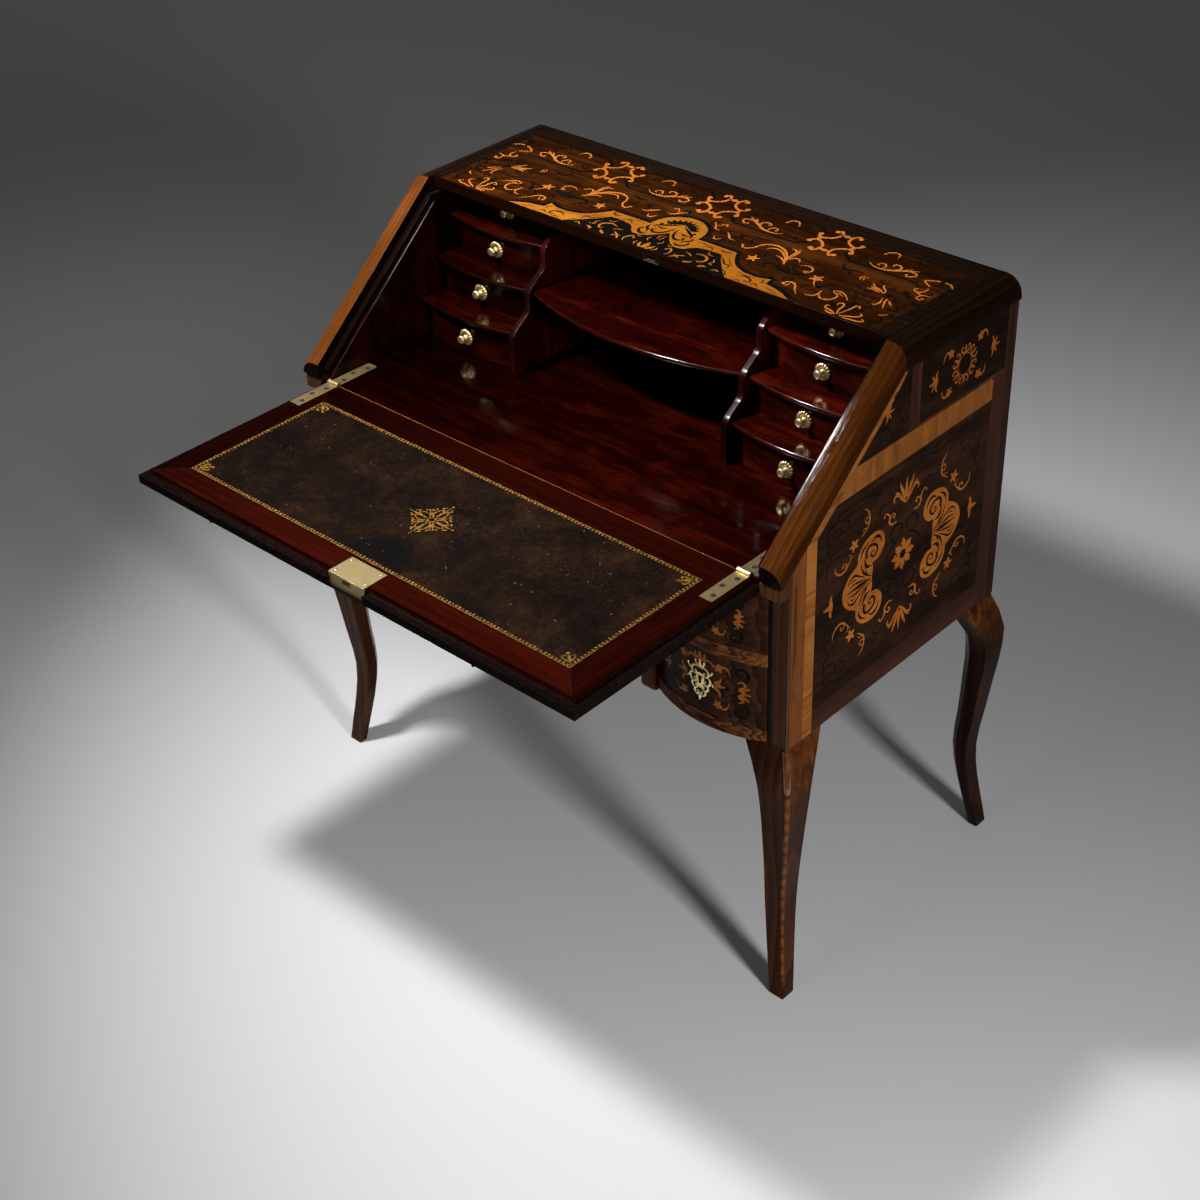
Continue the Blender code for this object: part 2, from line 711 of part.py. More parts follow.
def build_outer_drawers():
    joinery = (FRONT_THICK, WALL_THICK, FLOOR_THICK)
    back = BACK_FRONT - DRAWER_BACK_PLAY
    rows = (
        ("lower_drawer_", LOWER_FLOOR + FIT, MID_FLOOR - RUN),
        ("upper_drawer_", UPPER_FLOOR + FIT, RAIL_UNDER - RUN),
    )
    for sign, tag in SIDES:
        near, far = span(sign, KNEE_OUTER + RUN, SIDE_INNER - RUN)
        front = bow(near, far, DRAWER_SETBACK - RAIL_BOW_END, RAIL_BOW)
        for name, low, high in rows:
            drawer(name + tag, front, back, (low, high), joinery, walnut)
    half = KNEE_INNER - RUN
    flat = [(-half, DRAWER_SETBACK - CENTRE_REACH), (half, DRAWER_SETBACK - CENTRE_REACH)]
    drawer("centre_drawer", flat, back, (UPPER_FLOOR + FIT, RAIL_UNDER - RUN), joinery, walnut)
    low = (-KNEE_INNER + FIT, -CENTRE_REACH, MID_FLOOR)
    high = (KNEE_INNER - FIT, BACK_FRONT - FIT, UPPER_FLOOR)
    part("kneehole_rail", block(low, high), walnut, desk)


def tier_roof(tier):
    """Underside of the shelf, or of the top, above a tier."""
    return STEP_LEVELS[tier] if tier < len(STEP_LEVELS) else CEILING


def tier_front(tier):
    """Foremost point of a tier's bowed drawers: it keeps behind the closed fall, less so towards the top."""
    share = STEP_SHARES[tier] if tier < len(STEP_SHARES) else 1
    setback = NEST_SETBACK_FOOT + (NEST_SETBACK_HEAD - NEST_SETBACK_FOOT) * share
    return slant_depth(tier_roof(tier)) + setback


def divider_outline():
    """Front edge that steps back in S curves, tier by tier."""
    fronts = [tier_front(tier) + STEP_BOW - SHELF_NOSE - DIVIDER_NOSE for tier in TIERS]
    foot = WRITING_HEIGHT + FIT
    points = [(fronts[0], foot)]
    for level, here, above in zip(STEP_LEVELS, fronts, fronts[1:]):
        rise = level + STEP_SHELF / 2
        points += s_curve((here, rise), (above, rise + (above - here)))
    head = CEILING - FIT
    back = BACK_FRONT - FIT
    return [*points, (fronts[-1], head), (back, head), (back, foot)]


def shelf_nosing(target):
    """Rounds the front edges of a bowed shelf."""
    back = BACK_FRONT - FIT

    def at_front(a, b):
        level = abs(a.z - b.z) < FIT
        return level and max(a.y, b.y) < back - FIT and abs(a.x - b.x) > FIT

    soften(target, NOSE_ROUND, at_front)


def build_interior():
    half = DIVIDER_THICK / 2
    for sign, tag in SIDES:
        wall = sheet(divider_outline(), SIDE, *span(sign, DIVIDER_X - half, DIVIDER_X + half))
        part("nest_divider_" + tag, wall, mahogany, desk)
    reach = DIVIDER_X - half - FIT
    level = STEP_LEVELS[1]
    ends = slant_depth(level) + CENTRE_SHELF_SETBACK + CENTRE_SHELF_BOW
    front = bow(-reach, reach, ends, CENTRE_SHELF_BOW)
    outline = bayed(front, BACK_FRONT - FIT, 1)
    shelf = part("centre_shelf", sheet(outline, PLAN, level, level + STEP_SHELF), mahogany, desk)
    shelf_nosing(shelf)
    for sign, tag in SIDES:
        for tier in TIERS:
            build_tier(sign, tag, tier)


def build_tier(sign, tag, tier):
    """One small drawer with its knob, and the bowed shelf above it."""
    label = tag + "_" + str(tier + 1)
    near = DIVIDER_X + DIVIDER_THICK / 2 + FIT
    far = CHEEK_INNER - FIT
    floor = WRITING_HEIGHT if tier == 0 else tier_roof(tier - 1) + STEP_SHELF
    roof = tier_roof(tier)
    swell = tier_front(tier)
    ends = swell + STEP_BOW
    play = RUN - FIT
    front = bow(*span(sign, near + play, far - play), ends, STEP_BOW)
    joinery = (SMALL_FRONT, SMALL_WALL, SMALL_FLOOR)
    back = BACK_FRONT - DRAWER_BACK_PLAY
    low = floor + FIT
    high = roof - RUN
    drawer("nest_drawer_" + label, front, back, (low, high), joinery, mahogany)
    build_knob("knob_" + label, Vector((sign * (near + far) / 2, swell - FIT, (low + high) / 2)))
    if tier == TIERS[-1]:
        return
    outline = bayed(bow(near, far, ends - SHELF_NOSE, STEP_BOW), BACK_FRONT - FIT, sign)
    shelf = sheet(outline, PLAN, roof, roof + STEP_SHELF)
    shelf_nosing(part("step_shelf_" + label, shelf, mahogany, desk))


def knob_profile():
    """Half section of a turned knob from tip to seat: flat face, rounded rim, neck and back plate."""
    return [
        (0, KNOB_REACH),
        (BUTTON_RADIUS - BUTTON_ROUND, KNOB_REACH),
        (BUTTON_RADIUS, KNOB_REACH - BUTTON_ROUND),
        (BUTTON_RADIUS, KNOB_REACH - 2 * BUTTON_ROUND),
        (NECK_RADIUS, KNOB_REACH - BUTTON_THICK),
        (NECK_RADIUS, 2 * PLATE_THICK),
        (PLATE_RADIUS, PLATE_THICK / 2),
        (PLATE_RADIUS, 0),
        (0, 0),
    ]


def build_knob(name, seat):
    """Knob turned about an axis that points at the writer."""
    mesh = bpy.data.meshes.new(name)
    profile = [(r, 0, h) for r, h in knob_profile()]
    edges = [(i, i + 1) for i in range(len(profile) - 1)]
    mesh.from_pydata(profile, edges, [])
    knob = part(name, mesh, brass, desk, (0, 0, 0))
    knob.location = seat
    knob.rotation_euler = (math.pi / 2, 0, 0)
    turn = knob.modifiers.new("Turn", "SCREW")
    turn.steps = TURN_STEPS
    turn.render_steps = TURN_STEPS
    turn.use_merge_vertices = True
    turn.merge_threshold = 0.00001


def smooth_through(stations, height):
    """Value at a height on a smooth curve through (height, value) stations that run downwards."""
    for i in range(len(stations) - 1):
        upper = stations[i]
        lower = stations[i + 1]
        if height >= lower[0] - 1e-9:
            break
    above = stations[max(i - 1, 0)]
    below = stations[min(i + 2, len(stations) - 1)]
    gap = upper[0] - lower[0]
    t = (upper[0] - height) / gap
    lean_in = (lower[1] - above[1]) / (above[0] - lower[0]) * gap
    lean_out = (below[1] - upper[1]) / (upper[0] - below[0]) * gap
    blend = t * t * (3 - 2 * t)
    bend = t * (1 - t)
    return upper[1] + (lower[1] - upper[1]) * blend + bend * ((1 - t) * lean_in - t * lean_out)


def build_leg(sign_x, sign_y, tag):
    """Cabriole leg: its outer corner swings out at the knee and the foot, its inner corner is cut off."""
    top = LEG_HEIGHT - FIT
    swing = (
        (top, 0),
        (KNEE_HEIGHT, KNEE_SWELL),
        (CALF_HEIGHT, CALF_SWELL),
        (ANKLE_HEIGHT, -ANKLE_TUCK),
        (0, FOOT_KICK),
    )
    girth = (
        (top, LEG_TOP_WIDTH),
        (KNEE_HEIGHT, KNEE_WIDTH),
        (CALF_HEIGHT, CALF_WIDTH),
        (ANKLE_HEIGHT, ANKLE_WIDTH),
        (0, FOOT_WIDTH),
    )
    corner = Vector((sign_x * HALF, 0 if sign_y < 0 else CASE_DEPTH, 0))
    outward = Vector((sign_x, sign_y, 0)) / math.sqrt(2)
    rings = []
    for i in range(LEG_RINGS + 1):
        height = top * (1 - i / LEG_RINGS)
        tip = corner + outward * smooth_through(swing, height)
        wide = smooth_through(girth, height)
        cut = LEG_ARRIS * wide / LEG_TOP_WIDTH
        back = wide * (1 - LEG_INNER_CUT)
        square = ((cut, 0), (0, cut), (0, wide), (back, wide), (wide, back), (wide, 0))
        ring = [tip + Vector((-sign_x * a, -sign_y * b, height)) for a, b in square]
        rings.append(ring)
    part("leg_" + tag, loft(rings), walnut, desk)


SIDES = ((-1, "left"), (1, "right"))
TIERS = range(len(STEP_SHARES) + 1)
ROUND_TURNS = [math.pi / 2 * i / ARC_STEPS for i in range(ARC_STEPS + 1)]

clear_scene()
parts = new_collection("slant_front_desk")
cutters = new_collection("cutters", hidden=True)
walnut = material("walnut_veneer", (0.105, 0.045, 0.020), 0.35)
mahogany = material("mahogany", (0.080, 0.018, 0.010), 0.25)
oak = material("oak_back", (0.110, 0.065, 0.035), 0.6)
brass = material("brass", (0.72, 0.56, 0.26), 0.3, 1.0)
hide = material("desk_leather", (0.045, 0.032, 0.014), 0.45)

desk = empty("desk", (0, FRAME_SHIFT, 0))
fall_pivot = empty("fall_pivot", HINGE, desk)

for side_sign, side_tag in SIDES:
    build_side(side_sign, side_tag)
    build_cheek(side_sign, side_tag)
    build_moulding(side_sign, side_tag)
    build_pedestal(side_sign, side_tag)
    build_hinge(side_sign, side_tag)
    build_leg(side_sign, -1, "front_" + side_tag)
    build_leg(side_sign, 1, "back_" + side_tag)
build_top()
build_back()
build_bed()
build_front_rail()
build_fall()
build_outer_drawers()
build_interior()

for made_part in parts.objects:
    if made_part.type == "MESH":
        made_part.data.shade_smooth()
        made_part.data.set_sharp_from_angle(angle=math.radians(35))
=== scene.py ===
"""Looks of the slant-front writing desk: woods, inlay, leather, brass, and a plain studio."""

import math
from functools import partialmethod

import bpy
from mathutils import Matrix, Vector
from mathutils.geometry import tessellate_polygon


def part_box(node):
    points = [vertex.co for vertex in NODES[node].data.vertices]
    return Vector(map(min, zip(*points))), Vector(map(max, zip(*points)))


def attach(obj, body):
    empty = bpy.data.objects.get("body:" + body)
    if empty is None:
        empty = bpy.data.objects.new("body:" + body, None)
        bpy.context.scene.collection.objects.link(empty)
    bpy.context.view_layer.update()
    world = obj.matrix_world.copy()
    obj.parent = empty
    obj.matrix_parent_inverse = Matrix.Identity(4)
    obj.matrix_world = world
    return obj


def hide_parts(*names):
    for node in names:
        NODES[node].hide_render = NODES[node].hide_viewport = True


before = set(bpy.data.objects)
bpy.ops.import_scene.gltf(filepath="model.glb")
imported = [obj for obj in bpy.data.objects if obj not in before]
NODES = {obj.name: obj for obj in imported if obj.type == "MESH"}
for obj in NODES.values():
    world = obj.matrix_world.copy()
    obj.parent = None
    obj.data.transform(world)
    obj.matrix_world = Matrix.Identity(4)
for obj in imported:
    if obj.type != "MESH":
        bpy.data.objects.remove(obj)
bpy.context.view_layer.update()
SIDES = ((-1, "left"), (1, "right"))
TIERS = (1, 2, 3, 4)
HINGE_REACH = 0.018
SLANT = math.radians(40.5)
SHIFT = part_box("writing_bed")[0].y + HINGE_REACH
BED_TOP = 0.740
MM = 0.001
BLACK = (0.0, 0.0, 0.0)


class Value:
    """A node's output to reckon with: each sign adds a math node to the material."""

    def __init__(self, shade, socket):
        self.shade = shade
        self.socket = socket

    def calc(self, operation, other=0.0):
        return self.shade.add("ShaderNodeMath", {0: self, 1: other}, 0, operation=operation)

    def __rsub__(self, other):
        return self * -1.0 + other

    __add__ = partialmethod(calc, "ADD")
    __sub__ = partialmethod(calc, "SUBTRACT")
    __mul__ = partialmethod(calc, "MULTIPLY")
    __truediv__ = partialmethod(calc, "DIVIDE")
    __pow__ = partialmethod(calc, "POWER")
    __lt__ = partialmethod(calc, "LESS_THAN")
    __gt__ = partialmethod(calc, "GREATER_THAN")
    __abs__ = partialmethod(calc, "ABSOLUTE")
    least = partialmethod(calc, "MINIMUM")
    most = partialmethod(calc, "MAXIMUM")
    fraction = partialmethod(calc, "FRACT")
    sine = partialmethod(calc, "SINE")


class Shader:
    """A material whose nodes are built call by call; every texture follows the piece's own coordinates."""

    def __init__(self, name):
        self.mat = bpy.data.materials.new(name)
        self.mat.use_nodes = True
        self.tree = self.mat.node_tree
        self.bsdf = self.tree.nodes["Principled BSDF"]
        self.place = self.add("ShaderNodeTexCoord", {}, "Object")

    def add(self, kind, inputs, output, **settings):
        """Adds a node, feeds its inputs and returns one of its outputs."""
        made = self.tree.nodes.new(kind)
        for key, value in settings.items():
            setattr(made, key, value)
        for key, value in inputs.items():
            self.feed(made.inputs[key], value)
        return Value(self, made.outputs[output])

    def feed(self, socket, value):
        if isinstance(value, Value):
            self.tree.links.new(value.socket, socket)
        elif socket.type == "RGBA":
            socket.default_value = (*value, 1)
        else:
            socket.default_value = value

    def scaled(self, scale, move=(0, 0, 0), turn=(0, 0, 0)):
        inputs = {"Vector": self.place, "Scale": scale, "Location": move, "Rotation": turn}
        return self.add("ShaderNodeMapping", inputs, "Vector")

    def noise(self, scale, detail=4.0, rough=0.5, warp=0.0, vector=None):
        inputs = {"Vector": vector or self.place, "Scale": scale, "Detail": detail, "Roughness": rough,
                  "Distortion": warp}
        return self.add("ShaderNodeTexNoise", inputs, "Fac")

    def bands(self, scale, warp, direction, vector):
        inputs = {"Vector": vector, "Scale": scale, "Distortion": warp, "Detail": 3.0, "Detail Scale": 1.4}
        return self.add("ShaderNodeTexWave", inputs, "Fac", bands_direction=direction, wave_profile="SAW")

    def cells(self, scale):
        return self.add("ShaderNodeTexVoronoi", {"Vector": self.place, "Scale": scale}, "Distance", feature="F1")

    def ramp(self, value, *stops):
        made = self.add("ShaderNodeValToRGB", {"Fac": value}, "Color")
        band = made.socket.node.color_ramp
        while len(band.elements) < len(stops):
            band.elements.new(0.5)
        for element, (at, colour) in zip(band.elements, stops):
            element.position = at
            element.color = (colour, colour, colour, 1) if isinstance(colour, float) else (*colour, 1)
        return made

    def mix(self, share, first, second):
        return self.add("ShaderNodeMix", {0: share, 6: first, 7: second}, 2, data_type="RGBA")

    def axis(self, name):
        return self.add("ShaderNodeSeparateXYZ", {0: self.place}, name)

    def bump(self, height, strength=0.10, distance=0.0002):
        made = self.add("ShaderNodeBump", {"Height": height, "Strength": strength, "Distance": distance}, "Normal")
        self.feed(self.bsdf.inputs["Normal"], made)

    def finish(self, colour, rough, metal=0.0, coat=0.0, shine=0.5):
        inputs = {"Base Color": colour, "Roughness": rough, "Metallic": metal, "Specular IOR Level": shine,
                  "Coat Weight": coat, "Coat Roughness": 0.06}
        for key, value in inputs.items():
            self.feed(self.bsdf.inputs[key], value)
        return self.mat


ALONG = {"X": (0.06, 1, 1), "Y": (1, 0.06, 1), "Z": (1, 1, 0.06)}
ACROSS = {"X": "Y", "Y": "X", "Z": "X"}
BOARD = 0.165
BED = ((0.0014, 0.00008, 0.00005), (0.0088, 0.00050, 0.00018), (0.0360, 0.0030, 0.0007))
MAHOGANY = ((0.0020, 0.00009, 0.00005), (0.0145, 0.00080, 0.00022), (0.0560, 0.0045, 0.0010))
FALL = ((0.0060, 0.0006, 0.0003), (0.0262, 0.0027, 0.0010), (0.072, 0.0098, 0.0040))
WALNUT = ((0.016, 0.0062, 0.0026), (0.036, 0.0140, 0.0056), (0.066, 0.027, 0.0105))
RAIL = ((0.010, 0.0030, 0.0011), (0.045, 0.0150, 0.0050), (0.125, 0.045, 0.014))
POST = ((0.0130, 0.0052, 0.0024), (0.0310, 0.0122, 0.0054), (0.056, 0.0230, 0.0098))
BAR = ((0.026, 0.0064, 0.0012), (0.088, 0.0250, 0.0045), (0.175, 0.056, 0.0110))
DARK = ((0.0020, 0.0008, 0.0004), (0.0050, 0.0020, 0.0009), (0.0110, 0.0046, 0.0019))
ROSEWOOD = ((0.0030, 0.0012, 0.0006), (0.0094, 0.0037, 0.0017), (0.0260, 0.0100, 0.0040))
SATIN = ((0.086, 0.028, 0.0055), (0.150, 0.050, 0.0100), (0.225, 0.084, 0.0180))
TAN = ((0.048, 0.0150, 0.0042), (0.096, 0.0300, 0.0080), (0.150, 0.050, 0.0140))
BOX = ((0.17, 0.047, 0.0060), (0.28, 0.084, 0.0110), (0.40, 0.145, 0.024))
YELLOW = ((0.095, 0.027, 0.0016), (0.165, 0.053, 0.0036), (0.250, 0.093, 0.0080))
EBONY = ((0.0008, 0.0006, 0.0005), (0.0016, 0.0013, 0.0011), (0.0034, 0.0027, 0.0022))
RUSSET = ((0.0080, 0.0020, 0.0009), (0.0210, 0.0056, 0.0024), (0.042, 0.0120, 0.0050))
FIELD = ((0.0060, 0.0016, 0.0003), (0.0145, 0.0038, 0.0006), (0.044, 0.0122, 0.0016))
OAK = ((0.030, 0.016, 0.008), (0.065, 0.037, 0.019), (0.105, 0.064, 0.036))
LEG = ((0.0070, 0.0022, 0.0010), (0.0205, 0.0064, 0.0027), (0.050, 0.0165, 0.0062))
KNEE = ((0.035, 0.0095, 0.0022), (0.100, 0.0300, 0.0060), (0.190, 0.070, 0.0150))
SCORCH = ((0.006, 0.0020, 0.0007), (0.014, 0.0046, 0.0013), (0.03, 0.0105, 0.003))
HOLE_SHADE = ((0.001, 0.001, 0.001), (0.002, 0.002, 0.002), (0.003, 0.003, 0.003))
WORN_EDGE_SHEEN = ((0.022, 0.016, 0.012), (0.040, 0.030, 0.023), (0.062, 0.048, 0.038))
GLOSS = ((0.030, 0.0075, 0.002), (0.070, 0.0190, 0.004), (0.125, 0.038, 0.008))


def toned(tones, red, green=None, blue=None):
    """Tones of a wood made deeper or paler, by one factor or by one for each channel."""
    factors = (red, green or red, blue or red)
    return [[channel * factor for channel, factor in zip(tone, factors)] for tone in tones]


def wood_colour(shade, axis, tones, bands=26.0, seed=0.0, pores=0.55, warp=5.0, rings=0.22, clouds=0.0):
    """Grain of a polished veneer: broad figure, growth bands and fine dark pores, drawn out along one axis."""
    deep, main, pale = tones
    move = (seed * 1.7, seed * 2.3, seed * 3.1)
    long = shade.scaled(ALONG[axis], move)
    figure = shade.noise(9.0, 5.0, 0.6, 0.8, long)
    ring = shade.bands(bands, warp, ACROSS[axis], long)
    blend = figure * (0.84 - rings) + ring * rings + shade.noise(130.0, 3.0, 0.6, vector=long) * 0.24
    if clouds:
        broad = shade.scaled([share ** 0.3 for share in ALONG[axis]], move)
        blend = blend + (shade.noise(24.0, 5.0, 0.62, 1.2, broad) - 0.5) * clouds
    colour = shade.ramp(blend, (0.30, deep), (0.52, main), (0.76, pale))
    fine = shade.scaled([share * 520 for share in ALONG[axis]], move)
    pore = shade.ramp(shade.noise(1.0, 2.0, 0.6, vector=fine), (0.57, 0.0), (0.70, 1.0))
    return shade.mix(pore * pores, colour, [channel * 0.35 for channel in deep]), pore


def paint_shade_leftward(shade, colour, left, middle=0.66):
    """Colour as it is at the desk's right end, with painted shade that darkens it towards the left end."""
    share = shade.axis("X") * (1.0 / 0.88) + 0.5
    return shade.mix(shade.ramp(share, (0.0, left), (0.5, left * middle), (1.0, 0.0)), colour, BLACK)


def wood(name, axis, tones, rough=0.30, coat=0.0, shine=0.06, left=0.0, **grain):
    shade = Shader(name)
    colour, pore = wood_colour(shade, axis, tones, **grain)
    # left is the share of painted shade laid on towards the desk's left end.
    if left:
        colour = paint_shade_leftward(shade, colour, left)
    shade.bump(1.0 - pore)
    return shade.finish(colour, shade.noise(14.0, 3.0) * 0.14 + (rough - 0.07), coat=coat, shine=shine)


def metal(name, colour, tarnish, rough):
    """Old polished brass: bright, with dull clouds, hairline scratches and dark specks."""
    shade = Shader(name)
    cloud = shade.noise(55.0, 5.0, 0.65, 0.4)
    speck = shade.ramp(shade.noise(420.0, 2.0), (0.66, 0.0), (0.74, 0.5))
    tint = shade.ramp(cloud, (0.36, colour), (0.74, tarnish))
    tint = shade.mix(speck, tint, [channel * 0.4 for channel in tarnish])
    scratch = shade.scaled((900, 60, 60), turn=(0.3, 0.2, 0.7))
    shade.bump(shade.noise(1.0, 2.0, vector=scratch), 0.06)
    return shade.finish(tint, cloud * 0.30 + (rough - 0.12), metal=1.0)


def hide():
    """Old desk leather: olive brown, rubbed paler in clouds, finely grained, with pale chips and one dark patch."""
    shade = Shader("desk_leather")
    cloud = shade.noise(15.0, 6.0, 0.68, 0.5)
    fine = shade.noise(190.0, 4.0, 0.62)
    colour = shade.ramp(cloud * 0.66 + fine * 0.34, (0.34, (0.0009, 0.0004, 0.0003)),
                        (0.50, (0.0058, 0.0023, 0.0010)), (0.68, (0.0195, 0.0080, 0.0026)))
    patch_x = (shade.axis("X") - 0.006) / 0.062
    patch_y = (shade.axis("Y") - SHIFT + 0.302) / 0.042
    away = patch_x ** 2.0 + patch_y ** 2.0 + cloud * 0.6
    worn = shade.ramp(away * 0.5, (0.46, 1.0), (0.54, 0.0))
    colour = shade.mix(worn * 0.85, colour, (0.0014, 0.0012, 0.0011))
    chip = shade.noise(260.0, 1.0, 0.4) * shade.noise(70.0, 2.0)
    chip = shade.ramp(chip, (0.452, 0.0), (0.470, 1.0))
    colour = shade.mix(chip * 0.6, colour, (0.070, 0.060, 0.048))
    shade.bump(shade.cells(620.0) + fine * 0.8, 0.25, 0.0003)
    # Painted shade darkens the leather towards the desk's left end.
    return shade.finish(paint_shade_leftward(shade, colour, 0.50), shade.ramp(fine, (0.3, 0.56), (0.7, 0.76)), shine=0.03)


def gilt():
    """Gold leaf pressed into leather, rubbed through in places."""
    shade = Shader("gold_tooling")
    rub = shade.noise(320.0, 4.0, 0.65)
    colour = shade.ramp(rub, (0.40, (0.025, 0.011, 0.003)), (0.56, (0.33, 0.155, 0.018)), (0.80, (0.66, 0.36, 0.060)))
    shade.bump(rub, 0.2)
    return shade.finish(colour, shade.ramp(rub, (0.3, 0.5), (0.7, 0.3)), metal=0.6)


def fall_wood():
    """Fall: long rails with the grain across, end rails with the grain endways, ebonised lip, pale back edge."""
    shade = Shader("fall_mahogany")
    across, pore = wood_colour(shade, "X", FALL, rings=0.07, seed=3.0)
    endways, _ = wood_colour(shade, "Y", toned(FALL, 0.42), rings=0.07, seed=5.0)
    low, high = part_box("fall_panel")
    y = shade.axis("Y")
    z = shade.axis("Z")
    from_end = high.x - 0.0145 - abs(shade.axis("X"))
    from_front = y - (low.y + 0.013)
    from_back = high.y - y
    nearest = from_front.least(from_back)
    across = shade.mix((from_back < from_front) * 0.55, across, BLACK)
    # Painted shade darkens the fall towards the desk's left end.
    colour = paint_shade_leftward(shade, shade.mix(from_end < nearest, across, endways), 0.7, 0.33)
    colour = shade.mix(abs(from_end - nearest) < 0.0005, colour, (0.004, 0.002, 0.002))
    rim = (from_end.least(from_front) < -0.0006) * (z < high.z - 0.004)
    wear = shade.noise(160.0, 4.0, 0.7)
    black = shade.ramp(wear, (0.45, (0.0022, 0.0012, 0.0010)), (0.72, (0.0085, 0.0036, 0.0022)))
    colour = shade.mix(rim, colour, black)
    pale = (from_back < 0.0014) * (z > high.z - 0.0006)
    colour = shade.mix(pale * 0.8, colour, (0.12, 0.038, 0.012))
    shade.bump(1.0 - pore)
    return shade.finish(colour, rim * 0.25 + 0.20, shine=0.012)


def moulding_wood():
    """Rounded moulding: figured walnut up the slant, with painted shade on the right-hand bar, dark on the top's ends,
    black on the inner wall and the nose.
    """
    shade = Shader("slant_walnut")
    rest = shade.place
    shade.place = shade.scaled((1, 1, 1), turn=(-SLANT, 0, 0))
    slope, pore = wood_colour(shade, "Y", BAR, bands=34.0, warp=7.0, seed=1.0)
    mottle = shade.noise(1.0, 4.0, 0.6, 0.6, shade.scaled((22, 5, 22)))
    shade.place = rest
    slope = shade.mix(shade.ramp(mottle, (0.38, 0.75), (0.62, 0.0)), slope, [channel * 0.45 for channel in BAR[1]])
    x = shade.axis("X")
    y = shade.axis("Y") - SHIFT
    z = shade.axis("Z")
    # Painted shade: the right-hand bar (x above zero) is mixed most of the way towards a near-black red.
    slope = shade.mix(x > 0.0, slope, shade.mix(0.64, slope, (0.003, 0.0, 0.0)))
    ends, _ = wood_colour(shade, "Y", DARK, seed=5.0)
    mitre = y - (z - 0.9537) * 0.138
    colour = shade.mix(mitre > 0.2327, slope, ends)
    inside = abs(x) < 0.4373
    black = (inside * (mitre < 0.2327)).most(y < -0.0234)
    colour = shade.mix(black, colour, (0.0028, 0.0012, 0.0009))
    depth = z * math.cos(SLANT) - y * math.sin(SLANT)
    reed = (depth * (2 * math.pi / 0.0075)).sine() * (inside * 3.0)
    shade.bump(reed + pore * -0.25, 0.35, 0.0004)
    return shade.finish(colour, shade.ramp(mottle, (0.3, 0.05), (0.7, 0.08)), shine=0.018)


def leg_wood(name, depth=1.0):
    """Walnut of the legs, with an orange flame in the veneer on the outer face of the knee; depth below one darkens
    all the tones as painted shade.
    """
    shade = Shader(name)
    colour, pore = wood_colour(shade, "Z", toned(LEG, depth), seed=6.0, bands=16.0, pores=0.35, clouds=0.15)
    flame, _ = wood_colour(shade, "Z", KNEE, seed=8.0, bands=22.0, warp=9.0, clouds=0.6)
    up = shade.ramp(shade.axis("Z"), (0.370, 0.0), (0.430, 0.8))
    lick = shade.noise(1.0, 4.0, 0.6, 0.8, shade.scaled((60, 60, 14)))
    lick = shade.ramp(lick, (0.36, 0.25), (0.66, 0.75))
    outer = abs(shade.axis("X")) > 0.4685
    shade.bump(1.0 - pore)
    gloss = shade.ramp(shade.noise(14.0, 3.0), (0.3, 0.18), (0.7, 0.30))
    return shade.finish(shade.mix(up * lick * outer, colour, flame), gloss, shine=0.04)


def drawer_wood():
    """Drawer with a rosewood veneered front on a plain oak box."""
    shade = Shader("drawer_wood")
    front, pore = wood_colour(shade, "X", toned(ROSEWOOD, 1.8, 1.8, 2.0), seed=8.0, clouds=0.5)
    box, _ = wood_colour(shade, "Y", OAK, seed=9.0)
    behind = shade.axis("Y") - SHIFT > 0.012
    shade.bump(1.0 - pore)
    return shade.finish(shade.mix(behind, front, box), shade.ramp(behind, (0.0, 0.34), (1.0, 0.6)), shine=0.02)


def back_oak():
    """Back of plain oak boards laid across, with open joints and a nail at each board's ends."""
    shade = Shader("oak_back")
    colour, pore = wood_colour(shade, "X", OAK, seed=20.0, clouds=0.3)
    share = (shade.axis("Z") / BOARD).fraction()
    tone = shade.noise(1.7, 1.0, vector=shade.scaled((0.4, 0.4, 1 / BOARD)))
    colour = shade.mix(shade.ramp(tone, (0.40, 0.35), (0.60, 0.0)), colour, OAK[0])
    joint = shade.ramp(share, (0.0, 1.0), (0.012, 0.0), (0.988, 0.0), (1.0, 1.0))
    colour = shade.mix(joint, colour, (0.004, 0.0025, 0.0015))
    nail_x = abs(shade.axis("X")) - 0.425
    nail_z = (abs(share - 0.5) - 0.32) * BOARD
    nail = nail_x ** 2.0 + nail_z ** 2.0 < 0.0028 ** 2
    colour = shade.mix(nail, colour, (0.010, 0.009, 0.009))
    shade.bump(1.0 - pore - joint, 0.25, 0.0005)
    return shade.finish(colour, 0.6, shine=0.05)


def striped():
    """Banding of short tan lengths with dark joints, running up the front legs."""
    shade = Shader("leg_banding")
    colour, pore = wood_colour(shade, "X", TAN, bands=60.0, seed=24.0)
    step = ((shade.axis("Z") + shade.noise(5.0) * 0.012) * 42.0).fraction()
    joint = shade.ramp(step, (0.0, 0.95), (0.10, 0.10), (0.55, 0.0), (0.85, 0.65), (1.0, 0.95))
    shade.bump(1.0 - pore)
    return shade.finish(shade.mix(joint, colour, (0.028, 0.010, 0.005)), 0.3, shine=0.05)


def floor_paint():
    shade = Shader("studio_floor")
    shade.bump(shade.noise(240.0, 2.0), 0.03, 0.0003)
    colour = shade.ramp(shade.noise(6.0), (0.3, (0.450, 0.450, 0.455)), (0.7, (0.470, 0.470, 0.475)))
    return shade.finish(colour, 0.55)
